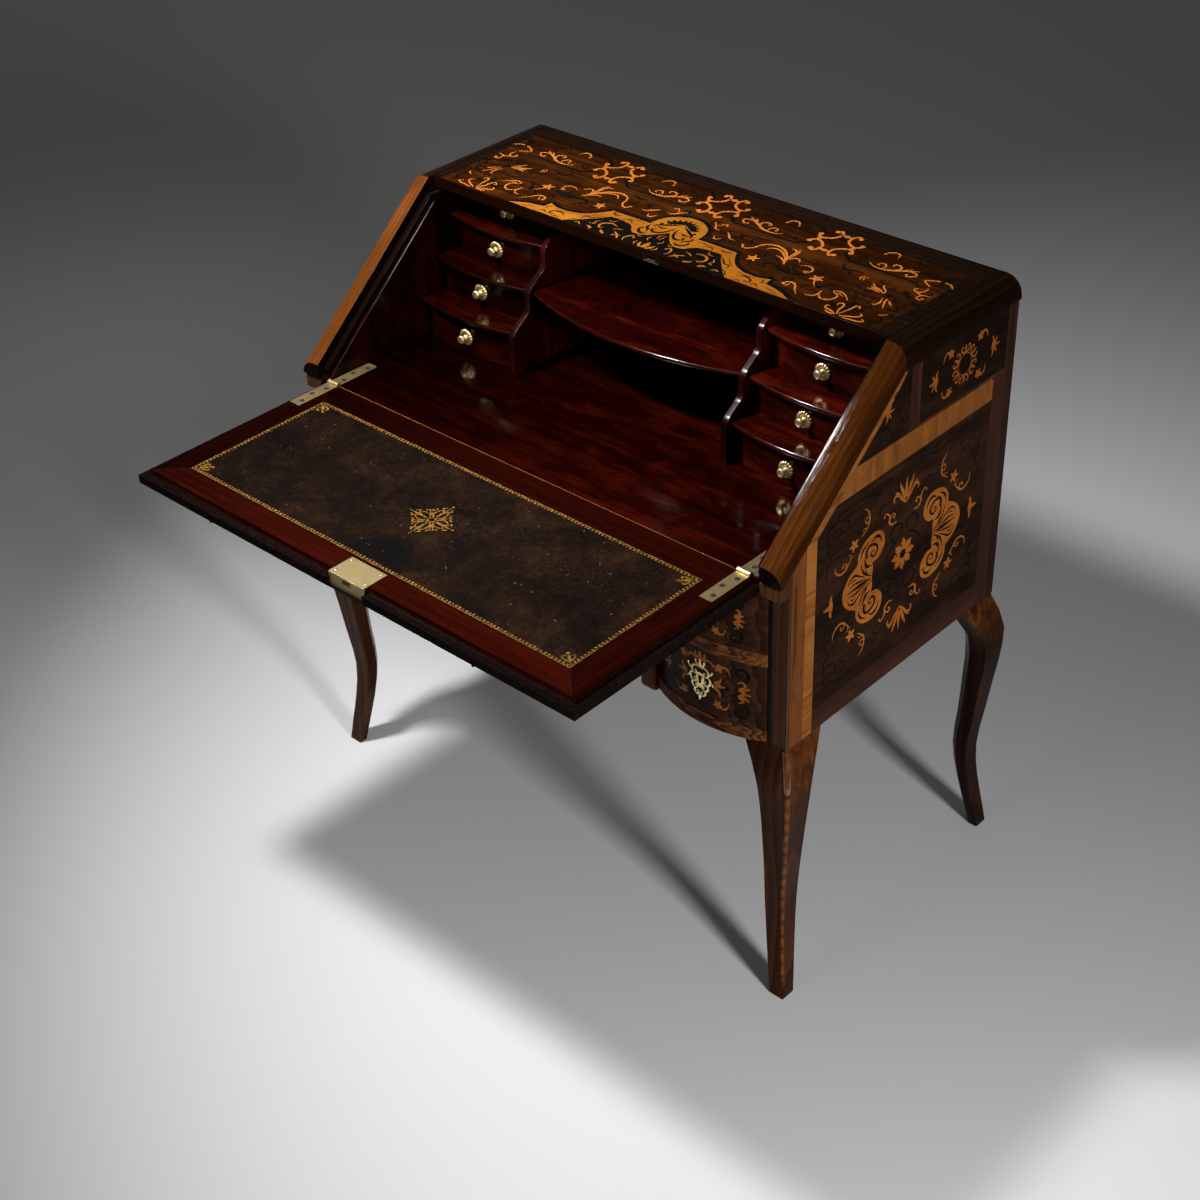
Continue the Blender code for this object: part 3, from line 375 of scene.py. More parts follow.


# In these four mahogany finishes, the fourth number after the tones is the share of painted shade towards the desk's
# left end.
mahogany_bed = wood("mahogany_bed", "X", BED, 0.13, 0.10, 0.18, 0.94, rings=0.05, warp=9.0, clouds=0.60)
mahogany_x = wood("mahogany_across", "X", MAHOGANY, 0.15, 0.10, 0.16, 0.80, rings=0.07, warp=9.0, clouds=0.65)
mahogany_front = wood("mahogany_front", "X", toned(MAHOGANY, 0.8), 0.16, 0.06, 0.10, 0.84,
                      rings=0.07, seed=2.0, clouds=0.80)
mahogany_z = wood("mahogany_upright", "Z", toned(MAHOGANY, 0.6), 0.18, 0.06, 0.12, 0.60,
                  rings=0.07, seed=4.0, clouds=0.50)
walnut_z = wood("walnut_upright", "Z", WALNUT, seed=2.0, shine=0.015)
dark_walnut = wood("dark_walnut", "X", toned(DARK, 0.65, 0.45, 0.4), seed=1.0, rough=0.22, shine=0.01)
leg_walnut = leg_wood("leg_walnut")
# Back legs: the leg walnut at half tone, as painted shade.
back_leg_walnut_painted_shade = leg_wood("back_leg_walnut_painted_shade", 0.5)
post_walnut = wood("post_walnut", "Z", POST, seed=25.0, shine=0.02)
cross_walnut = wood("crossband_walnut", "X", RAIL, seed=7.0, bands=38.0, warp=18.0, rings=0.40, clouds=1.1, shine=0.02)
rosewood = wood("rosewood", "Y", ROSEWOOD, seed=3.0, rough=0.36, shine=0.02, clouds=0.65, rings=0.08)
russet = wood("russet_band", "Y", RUSSET, seed=9.0)
russet_up = wood("russet_upright", "Z", RUSSET, seed=10.0)
russet_x = wood("russet_across", "X", DARK, seed=11.0, rough=0.24, shine=0.02)
satin_y = wood("satinwood_endways", "Z", SATIN, seed=12.0, bands=40.0, pores=0.35, shine=0.02, clouds=0.6)
satin_z = wood("satinwood_upright", "Y", SATIN, seed=13.0, bands=40.0, pores=0.35, shine=0.02, clouds=0.6)
tan_z = wood("tan_upright", "Z", TAN, seed=14.0, shine=0.015, clouds=0.25)
boxwood = wood("boxwood", "Y", BOX, seed=15.0, bands=50.0, pores=0.18, shine=0.03)
boxwood_side = wood("boxwood_side", "Y", toned(BOX, 0.72), seed=26.0, bands=50.0, pores=0.18, shine=0.02, clouds=0.4)
boxwood_front = wood("boxwood_front", "X", toned(BOX, 0.62), seed=21.0, bands=50.0, pores=0.18)
yellow = wood("lambrequin_satinwood", "X", YELLOW, seed=16.0, bands=50.0, pores=0.2, shine=0.02)
ebony = wood("ebony", "X", EBONY, seed=17.0, pores=0.1, shine=0.03)
field = wood("top_walnut", "X", FIELD, 0.22, shine=0.005, seed=18.0, bands=18.0, warp=8.0, clouds=0.5, rings=0.12)
scorch = wood("scorched_wood", "X", SCORCH, seed=19.0, shine=0.02)
oak = back_oak()
drawer_veneer = drawer_wood()
brass = metal("brass", (0.70, 0.54, 0.27), (0.42, 0.30, 0.125), 0.36)
lock_brass = metal("lock_brass", (0.56, 0.44, 0.22), (0.34, 0.25, 0.11), 0.38)
tarnish = metal("tarnished_brass", (0.16, 0.11, 0.045), (0.07, 0.045, 0.018), 0.45)
iron = metal("bolt_iron", (0.11, 0.085, 0.050), (0.05, 0.036, 0.020), 0.5)
keep_black = metal("keep_black", (0.020, 0.012, 0.008), (0.010, 0.006, 0.004), 0.5)
gilt_brass = metal("gilt_brass", (0.94, 0.77, 0.42), (0.52, 0.36, 0.13), 0.34)
steel = metal("screw_steel", (0.22, 0.21, 0.19), (0.09, 0.08, 0.065), 0.36)
# Near-black painted shade for screw slots and seats, the gap round the lock bolt and the keyholes.
painted_hole_shade = wood("hole_shade_finish", "Z", HOLE_SHADE, 0.8)
# Grey of the posts' worn corner arris, with a painted highlight in it.
worn_edge_sheen = wood("worn_edge_sheen_strip", "Z", WORN_EDGE_SHEEN, seed=22.0)
banding = striped()
leg_gloss = wood("knee_gloss", "Z", GLOSS, 0.16, 0.9, 0.30, seed=23.0)
slant_walnut = moulding_wood()
leather = hide()
gold = gilt()
fall_mahogany = fall_wood()


def cleaning_group():
    """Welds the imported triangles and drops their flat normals, so that edges can be softened."""
    group = bpy.data.node_groups.new("clean_faces", "GeometryNodeTree")
    for way in ("INPUT", "OUTPUT"):
        group.interface.new_socket("Geometry", in_out=way, socket_type="NodeSocketGeometry")
    kinds = ("NodeGroupInput", "GeometryNodeRemoveAttribute", "GeometryNodeMergeByDistance",
             "GeometryNodeSetShadeSmooth", "NodeGroupOutput")
    chain = [group.nodes.new(kind) for kind in kinds]
    chain[1].inputs["Name"].default_value = "custom_normal"
    chain[2].inputs["Distance"].default_value = 0.00001
    for one, following in zip(chain, chain[1:]):
        group.links.new(one.outputs[0], following.inputs[0])
    return group


CLEAN = cleaning_group()


def dress(name, finish, soft):
    """Gives a CAD node its finish and eased edges; the node's own mesh is left as it is."""
    node = NODES[name]
    node.data.materials.clear()
    node.data.materials.append(finish)
    node.modifiers.new("clean", "NODES").node_group = CLEAN
    flat = node.modifiers.new("flat", "DECIMATE")
    flat.decimate_type = "DISSOLVE"
    flat.angle_limit = math.radians(0.4)
    ease = node.modifiers.new("ease", "BEVEL")
    ease.width = soft
    ease.segments = 2
    ease.limit_method = "ANGLE"
    ease.angle_limit = math.radians(32)
    ease.miter_outer = "MITER_ARC"
    even = node.modifiers.new("even", "WEIGHTED_NORMAL")
    even.weight = 90
    even.keep_sharp = False


FINISHES = {
    "top_board": dark_walnut, "back_board": oak, "writing_bed": mahogany_bed, "centre_shelf": mahogany_x,
    "fall_panel": fall_mahogany, "fall_leather": leather, "front_rail": cross_walnut,
    "kneehole_rail": cross_walnut, "centre_drawer": drawer_veneer, "lock_plate": lock_brass,
    "lock_bolt": iron, "lock_keep": keep_black,
}
PAIRED_FINISHES = {
    "case_side": walnut_z, "desk_cheek": mahogany_z, "slant_moulding": slant_walnut, "kneehole_wall": russet_up,
    "pedestal_bottom": cross_walnut, "drawer_rail": cross_walnut, "lower_drawer": drawer_veneer,
    "upper_drawer": drawer_veneer, "leg_front": leg_walnut, "leg_back": back_leg_walnut_painted_shade,
    "nest_divider": mahogany_z, "hinge_bed_leaf": brass, "hinge_fall_leaf": brass,
}
SOFT_WOOD = 0.0008
SOFT_METAL = 0.0003
SOFT_LEATHER = 0.0002
for _, tag in SIDES:
    FINISHES.update({f"{name}_{tag}": finish for name, finish in PAIRED_FINISHES.items()})
    FINISHES.update({f"nest_drawer_{tag}_{tier}": mahogany_front for tier in TIERS})
    FINISHES.update({f"step_shelf_{tag}_{tier}": mahogany_x for tier in TIERS[:-1]})
for node_name, node_finish in FINISHES.items():
    soft_edge = SOFT_METAL if node_name.startswith(("hinge", "lock")) else SOFT_WOOD
    dress(node_name, node_finish, SOFT_LEATHER if node_name == "fall_leather" else soft_edge)


# Drawing tools: every shape is one outline, or two rails of a ribbon, in millimetres.


def flow(points, steps=6, closed=False):
    """Points of a smooth curve through the given points."""
    count = len(points)
    spans = count if closed else count - 1
    made = []
    for i in range(spans):
        picks = [(i + k) % count if closed else min(max(i + k, 0), count - 1) for k in (-1, 0, 1, 2)]
        near = [points[pick] for pick in picks]
        for step in range(steps):
            t = step / steps
            weights = (-t + 2 * t * t - t ** 3, 2 - 5 * t * t + 3 * t ** 3,
                       t + 4 * t * t - 3 * t ** 3, t ** 3 - t * t)
            made.append(tuple(sum(w * p[a] for w, p in zip(weights, near)) / 2 for a in (0, 1)))
    if not closed:
        made.append(tuple(points[-1]))
    return made


def between(values, share):
    place = share * (len(values) - 1)
    low = min(int(place), len(values) - 2)
    return values[low] + (values[low + 1] - values[low]) * (place - low)


def ribbon(line, width_at):
    left = []
    right = []
    for i, (u, v) in enumerate(line):
        before = line[max(i - 1, 0)]
        after = line[min(i + 1, len(line) - 1)]
        du, dv = after[0] - before[0], after[1] - before[1]
        size = math.hypot(du, dv) or 1.0
        half = width_at(i / (len(line) - 1)) / 2
        left.append((u - dv / size * half, v + du / size * half))
        right.append((u + dv / size * half, v - du / size * half))
    return [left, right]


def stroke(points, *widths, steps=6):
    """A ribbon whose width runs through the given widths from end to end."""
    return [ribbon(flow(points, steps), lambda share: between(widths, share) if len(widths) > 1 else widths[0])]


def strokes(widths, *paths):
    return [shape for path in paths for shape in stroke(path, *widths)]


def line(points, width):
    """A straight-sided string of ribbons with square corners."""
    return [ribbon([start, end], lambda share: width) for start, end in zip(points, points[1:])]


def leaf(points, width, lobes=4, steps=9):
    """A pointed leaf with a lobed edge."""
    def width_at(share):
        swell = math.sin(math.pi * min(share ** 0.75 + 0.04, 1.0)) ** 0.8
        return width * swell * (0.70 + 0.30 * abs(math.sin(lobes * math.pi * share))) + 0.2
    return [ribbon(flow(points, steps), width_at)]


def fill(points, steps=5):
    return [[flow(points, steps, True)]]


def plain(points):
    return [[list(points)]]


def oblong(u, v, far_u, far_v):
    return plain([(u, v), (far_u, v), (far_u, far_v), (u, far_v)])


def dot(u, v, radius, sides=14):
    turn = 2 * math.pi / sides
    return [[[(u + radius * math.cos(turn * i), v + radius * math.sin(turn * i)) for i in range(sides)]]]


def ring(u, v, radius, width, sides=40):
    turn = 2 * math.pi / sides
    line_points = [(u + radius * math.cos(turn * i), v + radius * math.sin(turn * i)) for i in range(sides + 1)]
    return [ribbon(line_points, lambda share: width)]


def drawn(*rows):
    """Shapes, one a row: a stroke's points and widths, a dot's point and radius, or a leaf's lobes, points and width."""
    made = []
    for row in rows:
        points = [item for item in row if isinstance(item, tuple)]
        if not isinstance(row[0], tuple):
            made += leaf(points, row[-1], row[0])
        elif len(points) == 1:
            made += dot(*points[0], row[1])
        else:
            made += stroke(points, *row[len(points):])
    return made


def moved(drawing, at=(0, 0), turn=0.0, grow=1.0, flip=(1, 1)):
    cos, sin = math.cos(math.radians(turn)) * grow, math.sin(math.radians(turn)) * grow

    def go(point):
        u, v = point[0] * flip[0], point[1] * flip[1]
        return (at[0] + cos * u - sin * v, at[1] + sin * u + cos * v)

    return [[[go(point) for point in rail] for rail in shape] for shape in drawing]


def pair(drawing, middle=0.0):
    """The drawing and its mirror image across the upright line at middle."""
    return drawing + moved(drawing, at=(2 * middle, 0), flip=(-1, 1))


def four(drawing):
    both = pair(drawing)
    return both + moved(both, flip=(1, -1))


def flower(u, v, petals, inner, outer, spread, turn=0.0):
    petal = leaf([(inner, 0), ((inner + outer) / 2, 0), (outer, 0)], spread, 2, 5)
    made = []
    for i in range(petals):
        made += moved(petal, (u, v), turn + 360 / petals * i)
    return made


def add_piece(name, body, points, faces, finish, smooth=True):
    """Makes a visible piece that goes with a body."""
    mesh = bpy.data.meshes.new(name)
    mesh.from_pydata(points, [], faces)
    if smooth:
        mesh.shade_smooth()
    mesh.materials.append(finish)
    piece = bpy.data.objects.new(name, mesh)
    bpy.context.scene.collection.objects.link(piece)
    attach(piece, body)
    return piece


def grid(rows, size, start=0):
    """Faces between rows of points that follow one another."""
    corners = [start + k * size + i for k in range(rows - 1) for i in range(size - 1)]
    return [(a, a + 1, a + 1 + size, a + size) for a in corners]


LAYER = 0.006
LAYERS = 9


class Panel:
    """A face of the desk that veneers are laid on; place(u, v, rise) gives the point in the shared frame."""

    def __init__(self, name, body, place):
        self.name = name
        self.body = body
        self.place = place

    def lay(self, label, finish, drawing, lift, slot="walnut_veneer", crown=0.0):
        """Builds one mesh of the whole drawing; crown lifts the middle of ribbons, as on cast metal."""
        points = []
        faces = []
        for number, shape in enumerate(drawing):
            rise = (lift + LAYER * (number % LAYERS)) * MM
            start = len(points)
            if len(shape) == 2:
                left, right = shape
                rows = [(left, 0.0), (right, 0.0)]
                if crown:
                    middle = [((a[0] + b[0]) / 2, (a[1] + b[1]) / 2) for a, b in zip(left, right)]
                    rows.insert(1, (middle, crown * MM))
                for row, top in rows:
                    points += [self.place(u, v, rise + top) for u, v in row]
                faces += grid(len(rows), len(left), start)
            else:
                points += [self.place(u, v, rise) for u, v in shape[0]]
                flat = [[Vector((u, v, 0)) for u, v in shape[0]]]
                faces += [tuple(start + i for i in face) for face in tessellate_polygon(flat)]
        out = (self.place(0, 0, 1) - self.place(0, 0, 0)).normalized()
        facing = []
        for face in faces:
            a, b, c, d = (points[i] for i in (*face[:3], face[-1]))
            normal = (b - a).cross(c - a) + (c - a).cross(d - a)
            facing.append(face if normal.dot(out) >= 0 else tuple(reversed(face)))
        return add_piece(f"{self.name}_{label}", self.body, points, facing, finish)


# Marquetry of the sides.

SCROLL_EDGE = [
    (-72, 3), (-70.7, 15), (-72, 24), (-60, 26), (-51.7, 33), (-46, 43), (-46.7, 55), (-51.7, 65), (-61.7, 71),
    (-73, 72.5), (-86.7, 70), (-98, 63), (-106, 51), (-107.5, 38), (-113, 34), (-123, 28.7), (-133, 18.7), (-139, 6.3),
]


def scroll_leaf():
    """The side panel's large left C-scroll and the dark lines engraved in it, about the panel's centre."""
    body = fill(SCROLL_EDGE + [(u, -v) for u, v in reversed(SCROLL_EDGE)], 4)
    cuts = drawn(
        ((-101, 41), (-99, 50), (-93, 58), (-83, 63), 0.8, 4.2, 1),
        ((-76, 59), (-68, 64), (-58, 60), (-53, 49), 1, 5, 1),
        ((-87, 38), (-88, 48), (-82, 55), (-72, 54), (-64, 48), (-63, 40), (-69, 34), (-75, 36), (-77, 41),
         (-72, 44), (-69, 41), 5, 4.2, 3.8, 2.8, 1.2),
        ((-73, 3), (-87, 11.7), (-95, 21.7), (-99, 34), 1, 4, 1.2),
        ((-91, 39), (-89, 29), (-83, 22.5), (-75, 21.5), 1.2, 5.8, 1.2),
        ((-80, 6), (-86, 15), (-90, 24), 1, 2.2, 0.8),
        ((-75, 0), (-98, 0.6), (-115, 0), (-129, 0), 1, 5.2, 3, 1),
        ((-88, 7.7), (-101, 16), (-113, 22.7), (-123, 20), (-127, 12), 1, 4, 1),
        ((-84, 3), (-98, 6.3), (-113, 9), (-123, 6.7), 0.9, 3.5, 0.9),
        ((-108, 14.5), (-116, 16), (-121, 13), 0.6, 2.8, 0.6),
    )
    return body, cuts + moved(cuts, flip=(1, -1))


def side_sprays():
    """Palmettes, curls, corner sprays and trefoils round the scrolls; about the panel's centre."""
    palmette = leaf([(0, 90), (-0.5, 108), (0, 129)], 6.6, 3)
    half = drawn(
        (3, (-3, 92), (-7, 106), (-13, 116), (-16, 127), 6), ((-4, 97), (-10, 106), (-9, 118), 1, 2.8, 0.7),
        ((-2, 90), (-10, 97), (-18, 106), (-26, 107), (-29, 101), (-26, 98), 4.2, 4.8, 4.4, 3.4, 1.6),
        (2, (-14, 102), (-20, 110), (-27, 113), 4.2),
    )
    made = palmette + pair(half) + dot(0, 91, 4.4)
    made = made + moved(made, flip=(1, -1))
    quarter = drawn(
        ((-20, 66), (-30, 65), (-37, 72), (-37, 82), (-45, 89), (-50, 85), 1.5, 4, 3, 1.2),
        ((-36, 76), (-29, 82), (-24, 78), (-27, 74), 2.4, 2.4, 1.2), ((-27, 75.5), 1.9), ((-49, 85), 1.8),
        ((-97, 122), (-88, 115), (-84, 102), (-86, 92), (-93, 85), (-101, 80), 0.8, 3.4, 3, 1),
        ((-84.5, 98), (-91, 97), (-94, 103), (-89, 107), 2.4, 2, 0.8), ((-89.5, 105), 1.7),
        ((-89, 88), (-96, 90), (-99, 86), 2, 0.7),
    )
    quarter += flower(-117, 74, 5, 1, 11, 6.5, 40)
    quarter += drawn(
        ((-159, 61), (-157, 50), (-148, 42.5), (-137, 42.5), (-128, 50), (-119, 60), 0.8, 3.2, 3.4, 1),
        ((-134, 44), (-133, 52), (-140, 54), (-142, 48), 2.4, 2, 0.8), ((-139.5, 50), 1.7),
        ((-124, 55), (-124, 62), (-129, 64), 2, 0.7),
    )
    trefoil = drawn(
        (3, (-160, -1), (-170, -1), (-183, -1), 9), (2, (-163, 0), (-166, 9), (-163, 18), 7),
        (2, (-163, -2), (-166, -11), (-164, -20), 7),
    )
    return made + four(quarter) + pair(trefoil)


def side_straps():
    """Black strapwork that frames the light inlay; about the panel's centre."""
    quarter = drawn(
        ((-120, 138), (-150, 139), (-158, 128), (-176, 126), (-177, 108), (-166, 98), (-152, 104),
         (-150, 118), (-162, 120), 2, 3.4, 3, 1.5),
        ((-177, 106), (-176, 92), (-168, 78), (-177, 62), (-177, 40), 2.6, 3.2, 1.4),
        ((-150, 112), (-136, 108), (-130, 118), (-140, 126), (-150, 120), 1.6, 3.2, 1.4),
        ((-118, 138), (-92, 139), (-70, 134), (-55, 140), (-30, 139), 1.5, 3, 1.5),
        ((-40, 100), (-52, 106), (-62, 98), (-56, 90), 1, 3, 1),
        ((-20, 30), (-32, 44), (-24, 58), (-8, 56), (-6, 46), (-14, 42), 1, 4, 3.6, 1),
        ((-2, 34), (-14, 34), (-36, 18), (-40, 4), 1, 3.6, 1),
    )
    return four(quarter)


def rose():
    """The panel's middle flower: four long and four broad ragged petals round a dark eye."""
    made = flower(0, 2.5, 4, 6.5, 27.5, 9.5, 0) + flower(0, 2.5, 4, 6.5, 26.0, 10.5, 45)
    return made + flower(0, 2.5, 8, 13, 22.0, 4.0, 13) + flower(0, 2.5, 8, 13, 22.0, 4.0, -13)


def wreath():
    """Thin ring with six groups of curled leaves round it."""
    made = ring(0, 0, 18.5, 1.3)
    curled = stroke([(1, 20), (8, 22), (12, 28), (9, 33), (6, 29)], 1.8, 3.6, 3.2, 2.2, 1.1)
    group = leaf([(0, 20), (0, 28), (0, 36)], 6.0, 3) + pair(curled)
    for turn in range(0, 360, 60):
        made += moved(group, turn=turn)
    return made


def fleur():
    """A leaf of three lobes that points along +u."""
    made = leaf([(-8, 0), (2, 0), (14, 0)], 6.4, 3)
    half = drawn(
        (2, (-7, 1), (-3, 8), (-7, 17), 5), (2, (-5, 2), (3, 7), (5, 13), 4),
    )
    return made + half + moved(half, flip=(1, -1))


def hook():
    """A flower on a curved stem, flower at the origin, stem towards -u -v."""
    return flower(0, 0, 5, 0.5, 8, 5.5, 20) + stroke([(-2, 3), (-9, 5), (-15, 1), (-18, -8)], 3.2, 3.4, 0.9)


SLOPE = math.tan(SLANT)
SIDE_FACE = 0.471
CASE_FOOT = 459.6


def under_moulding(y):
    """Height of the moulding's lower edge on the side, in millimetres."""
    return min(736.2 + (y + 22) * SLOPE, 953.7) - 0.4


def slanted(low, y_low, y_high):
    """Upright band of the side, cut off along the moulding."""
    return plain([(y_low, low), (y_high, low), (y_high, under_moulding(y_high)), (y_low, under_moulding(y_low))])


def dress_side(sign, tag):
    def place(u, v, rise):
        return Vector((sign * (SIDE_FACE + rise), u * MM + SHIFT, v * MM))

    panel = Panel("inlay_side_" + tag, "case", place)
    panel.lay("tan_band", tan_z, slanted(CASE_FOOT, 3.2, 32.6), 0.05)
    panel.lay("satin_post", satin_z, slanted(CASE_FOOT, 33.2, 55), 0.05)
    lower = [(55.6, 780), (95, 813), (135, 853), (205, 912), (232, 939), (240, 950)]
    strip = lower + [(y, under_moulding(y)) for y in (232.7, 160, 90, 55.6)]
    panel.lay("satin_slope", satin_z, plain(strip), 0.05)
    cross = plain([(95.5, 813), (456, 816), (456, 847), (449, 851), (135.5, 852.4)])
    panel.lay("satin_cross", satin_y, cross, 0.05)
    ground = plain([(55.6, 497), (455, 500), (455, 815.4), (95, 812.4), (55.6, 779.4)])
    ground += plain([(137, 853.4), (252, 853.4), (252, 953), (242, 950), (232, 938), (205, 911)])
    ground += oblong(275, 856, 482, 953)
    panel.lay("ground", rosewood, ground, 0.05)
    panel.lay("base_band", russet, plain([(55.6, CASE_FOOT), (455, CASE_FOOT), (455, 499.4), (55.6, 496.4)]), 0.05)
    edges = plain([(455.6, CASE_FOOT), (505, CASE_FOOT), (505, 953), (483, 953), (483, 855), (455.6, 850)])
    edges += oblong(252.6, 853.4, 274.4, 953)
    panel.lay("back_band", russet_up, edges, 0.05)
    centre = (255, 655)
    ring_u, ring_v = 377.5, 905
    scroll, cuts = scroll_leaf()
    light = moved(pair(scroll) + side_sprays() + rose(), centre)
    light += moved(wreath(), (ring_u, ring_v), grow=0.86)
    light += moved(fleur(), (306, ring_v), 180) + moved(fleur(), (450, ring_v))
    for du, dv in ((-1, 1), (1, 1), (-1, -1), (1, -1)):
        light += moved(hook(), (ring_u + du * 35, ring_v + dv * 29), flip=(-du, dv))
    light += moved(fleur(), (203, ring_v), grow=0.9)
    panel.lay("boxwood", boxwood_side, light, 0.16)
    dark = moved(side_straps(), centre)
    dark += drawn(
        ((232, 930), (246, 936), (250, 922), (238, 914), (229, 903), (231, 884), (240, 874), (233, 862), 2,
         3.6, 3, 1),
        ((226, 862), (212, 866), (205, 878), (194, 884), (184, 876), (190, 866), (200, 868), 1.5, 3.4, 3, 1),
        ((222, 930), (214, 922), (226, 914), 1, 3, 1),
    )
    panel.lay("straps", ebony, dark, 0.10)
    engraved = moved(pair(cuts), centre) + moved(dot(0, 2.5, 5.5), centre)
    engraved += moved(four(stroke([(-84.5, 49), (-84, 42)], 0.6, 0.6)), centre)
    panel.lay("engraving", ebony, engraved, 0.26)


for side_sign, side_tag in SIDES:
    dress_side(side_sign, side_tag)


# Marquetry of the top.

TOP_CENTRE = -4.0
CROWN = [(0, 373), (16, 370), (32, 360), (42, 347), (45.5, 333)]
BROW = [(46, 322), (119, 321.5)]
SWEEP = [(119, 321.5), (127, 308), (140, 292), (154, 283), (170, 278), (188, 277), (204, 281), (212, 285)]
TAIL = [(213, 269), (236, 264), (254, 257), (268, 249)]
INNER = [(156, 249), (140, 264), (126, 279), (113, 293), (104, 303), (70, 301), (58, 294), (50, 284), (38, 281),
         (24, 286), (12, 298), (0, 313)]


def cartouche():
    """Strap quatrefoil: four C-scrolls with ball ends, tied by small knots."""
    quarter = drawn(
        ((21, 33), (15.5, 37.5), (10, 30), (10.5, 18), (17.5, 9.5), (28, 4.8), (36, 8.5), (38, 14), 3.6, 4.8,
         4.6, 4.4, 4.6, 4.4, 3.6),
        ((20.5, 33), 4.2), ((36.8, 14), 4.2),
    )
    ties = line([(-11, 27.5), (11, 27.5)], 4.2) + line([(-11, -27.5), (11, -27.5)], 4.2)
    ties += dot(0, 28, 4.2) + dot(0, -28, 4.2)
    ties += line([(-30, -6), (-30, 6)], 4.6) + line([(30, -6), (30, 6)], 4.6) + dot(-30, 0, 3.6) + dot(30, 0, 3.6)
    return four(quarter) + ties


def spray():
    """Acanthus stem with a forked leaf at its left end and two curls, about (90, 417)."""
    made = drawn(
        ((127, 414), (114, 406.5), (100, 406), (88, 410), (77, 417), (65, 424), (53, 431), 0.8, 2.6, 3.6, 4.6,
         4.4, 3.4, 0.9),
        ((67, 423), (56, 423), (50, 418.5), (53, 411), (60.5, 408.5), (64, 412.5), 2.8, 3.2, 3.2, 3, 1.6),
        ((62.5, 412), 1.7), ((73, 420), (68, 427), (63, 431), 2.4, 2, 0.7),
        ((90, 409.5), (81, 417), (79.5, 425), (86, 430), (93, 428.5), (94, 423.5), 1.6, 3, 3.2, 3, 1.8),
        ((92.5, 424), 1.9),
        ((102, 406.5), (100, 415), (104.5, 421.5), (111, 420.5), (113.5, 414), 1.6, 2.8, 2.8, 1.6),
        ((111.8, 414.5), 1.8),
    )
    return moved(made, (-90, -417))


def crescent(points, width):
    """A curved sliver with a small ball at its start."""
    return stroke(points, 1.4, width, width, 0.7) + dot(points[0][0], points[0][1], width * 0.62)


def star(u, v, reach, turn):
    """A small ragged flower: long and short petals about a dark-looking gap."""
    long = flower(u, v, 5, 1.4, reach, reach * 0.34, turn)
    return long + flower(u, v, 5, 1.0, reach * 0.55, reach * 0.24, turn + 36)


def curl(u, v, radius, width, turn=0.0):
    """A tight black curl with a thick back."""
    points = [(0.2, -0.2), (0.7, 0.2), (0.2, 0.9), (-0.8, 0.6), (-1, -0.5), (-0.2, -1.5)]
    points = [(radius * a, radius * b) for a, b in points]
    made = stroke(points, width * 0.6, width, width * 1.2, width, 0.7)
    return moved(made + dot(radius * 0.2, -radius * 0.1, width * 0.75), (u, v), turn)


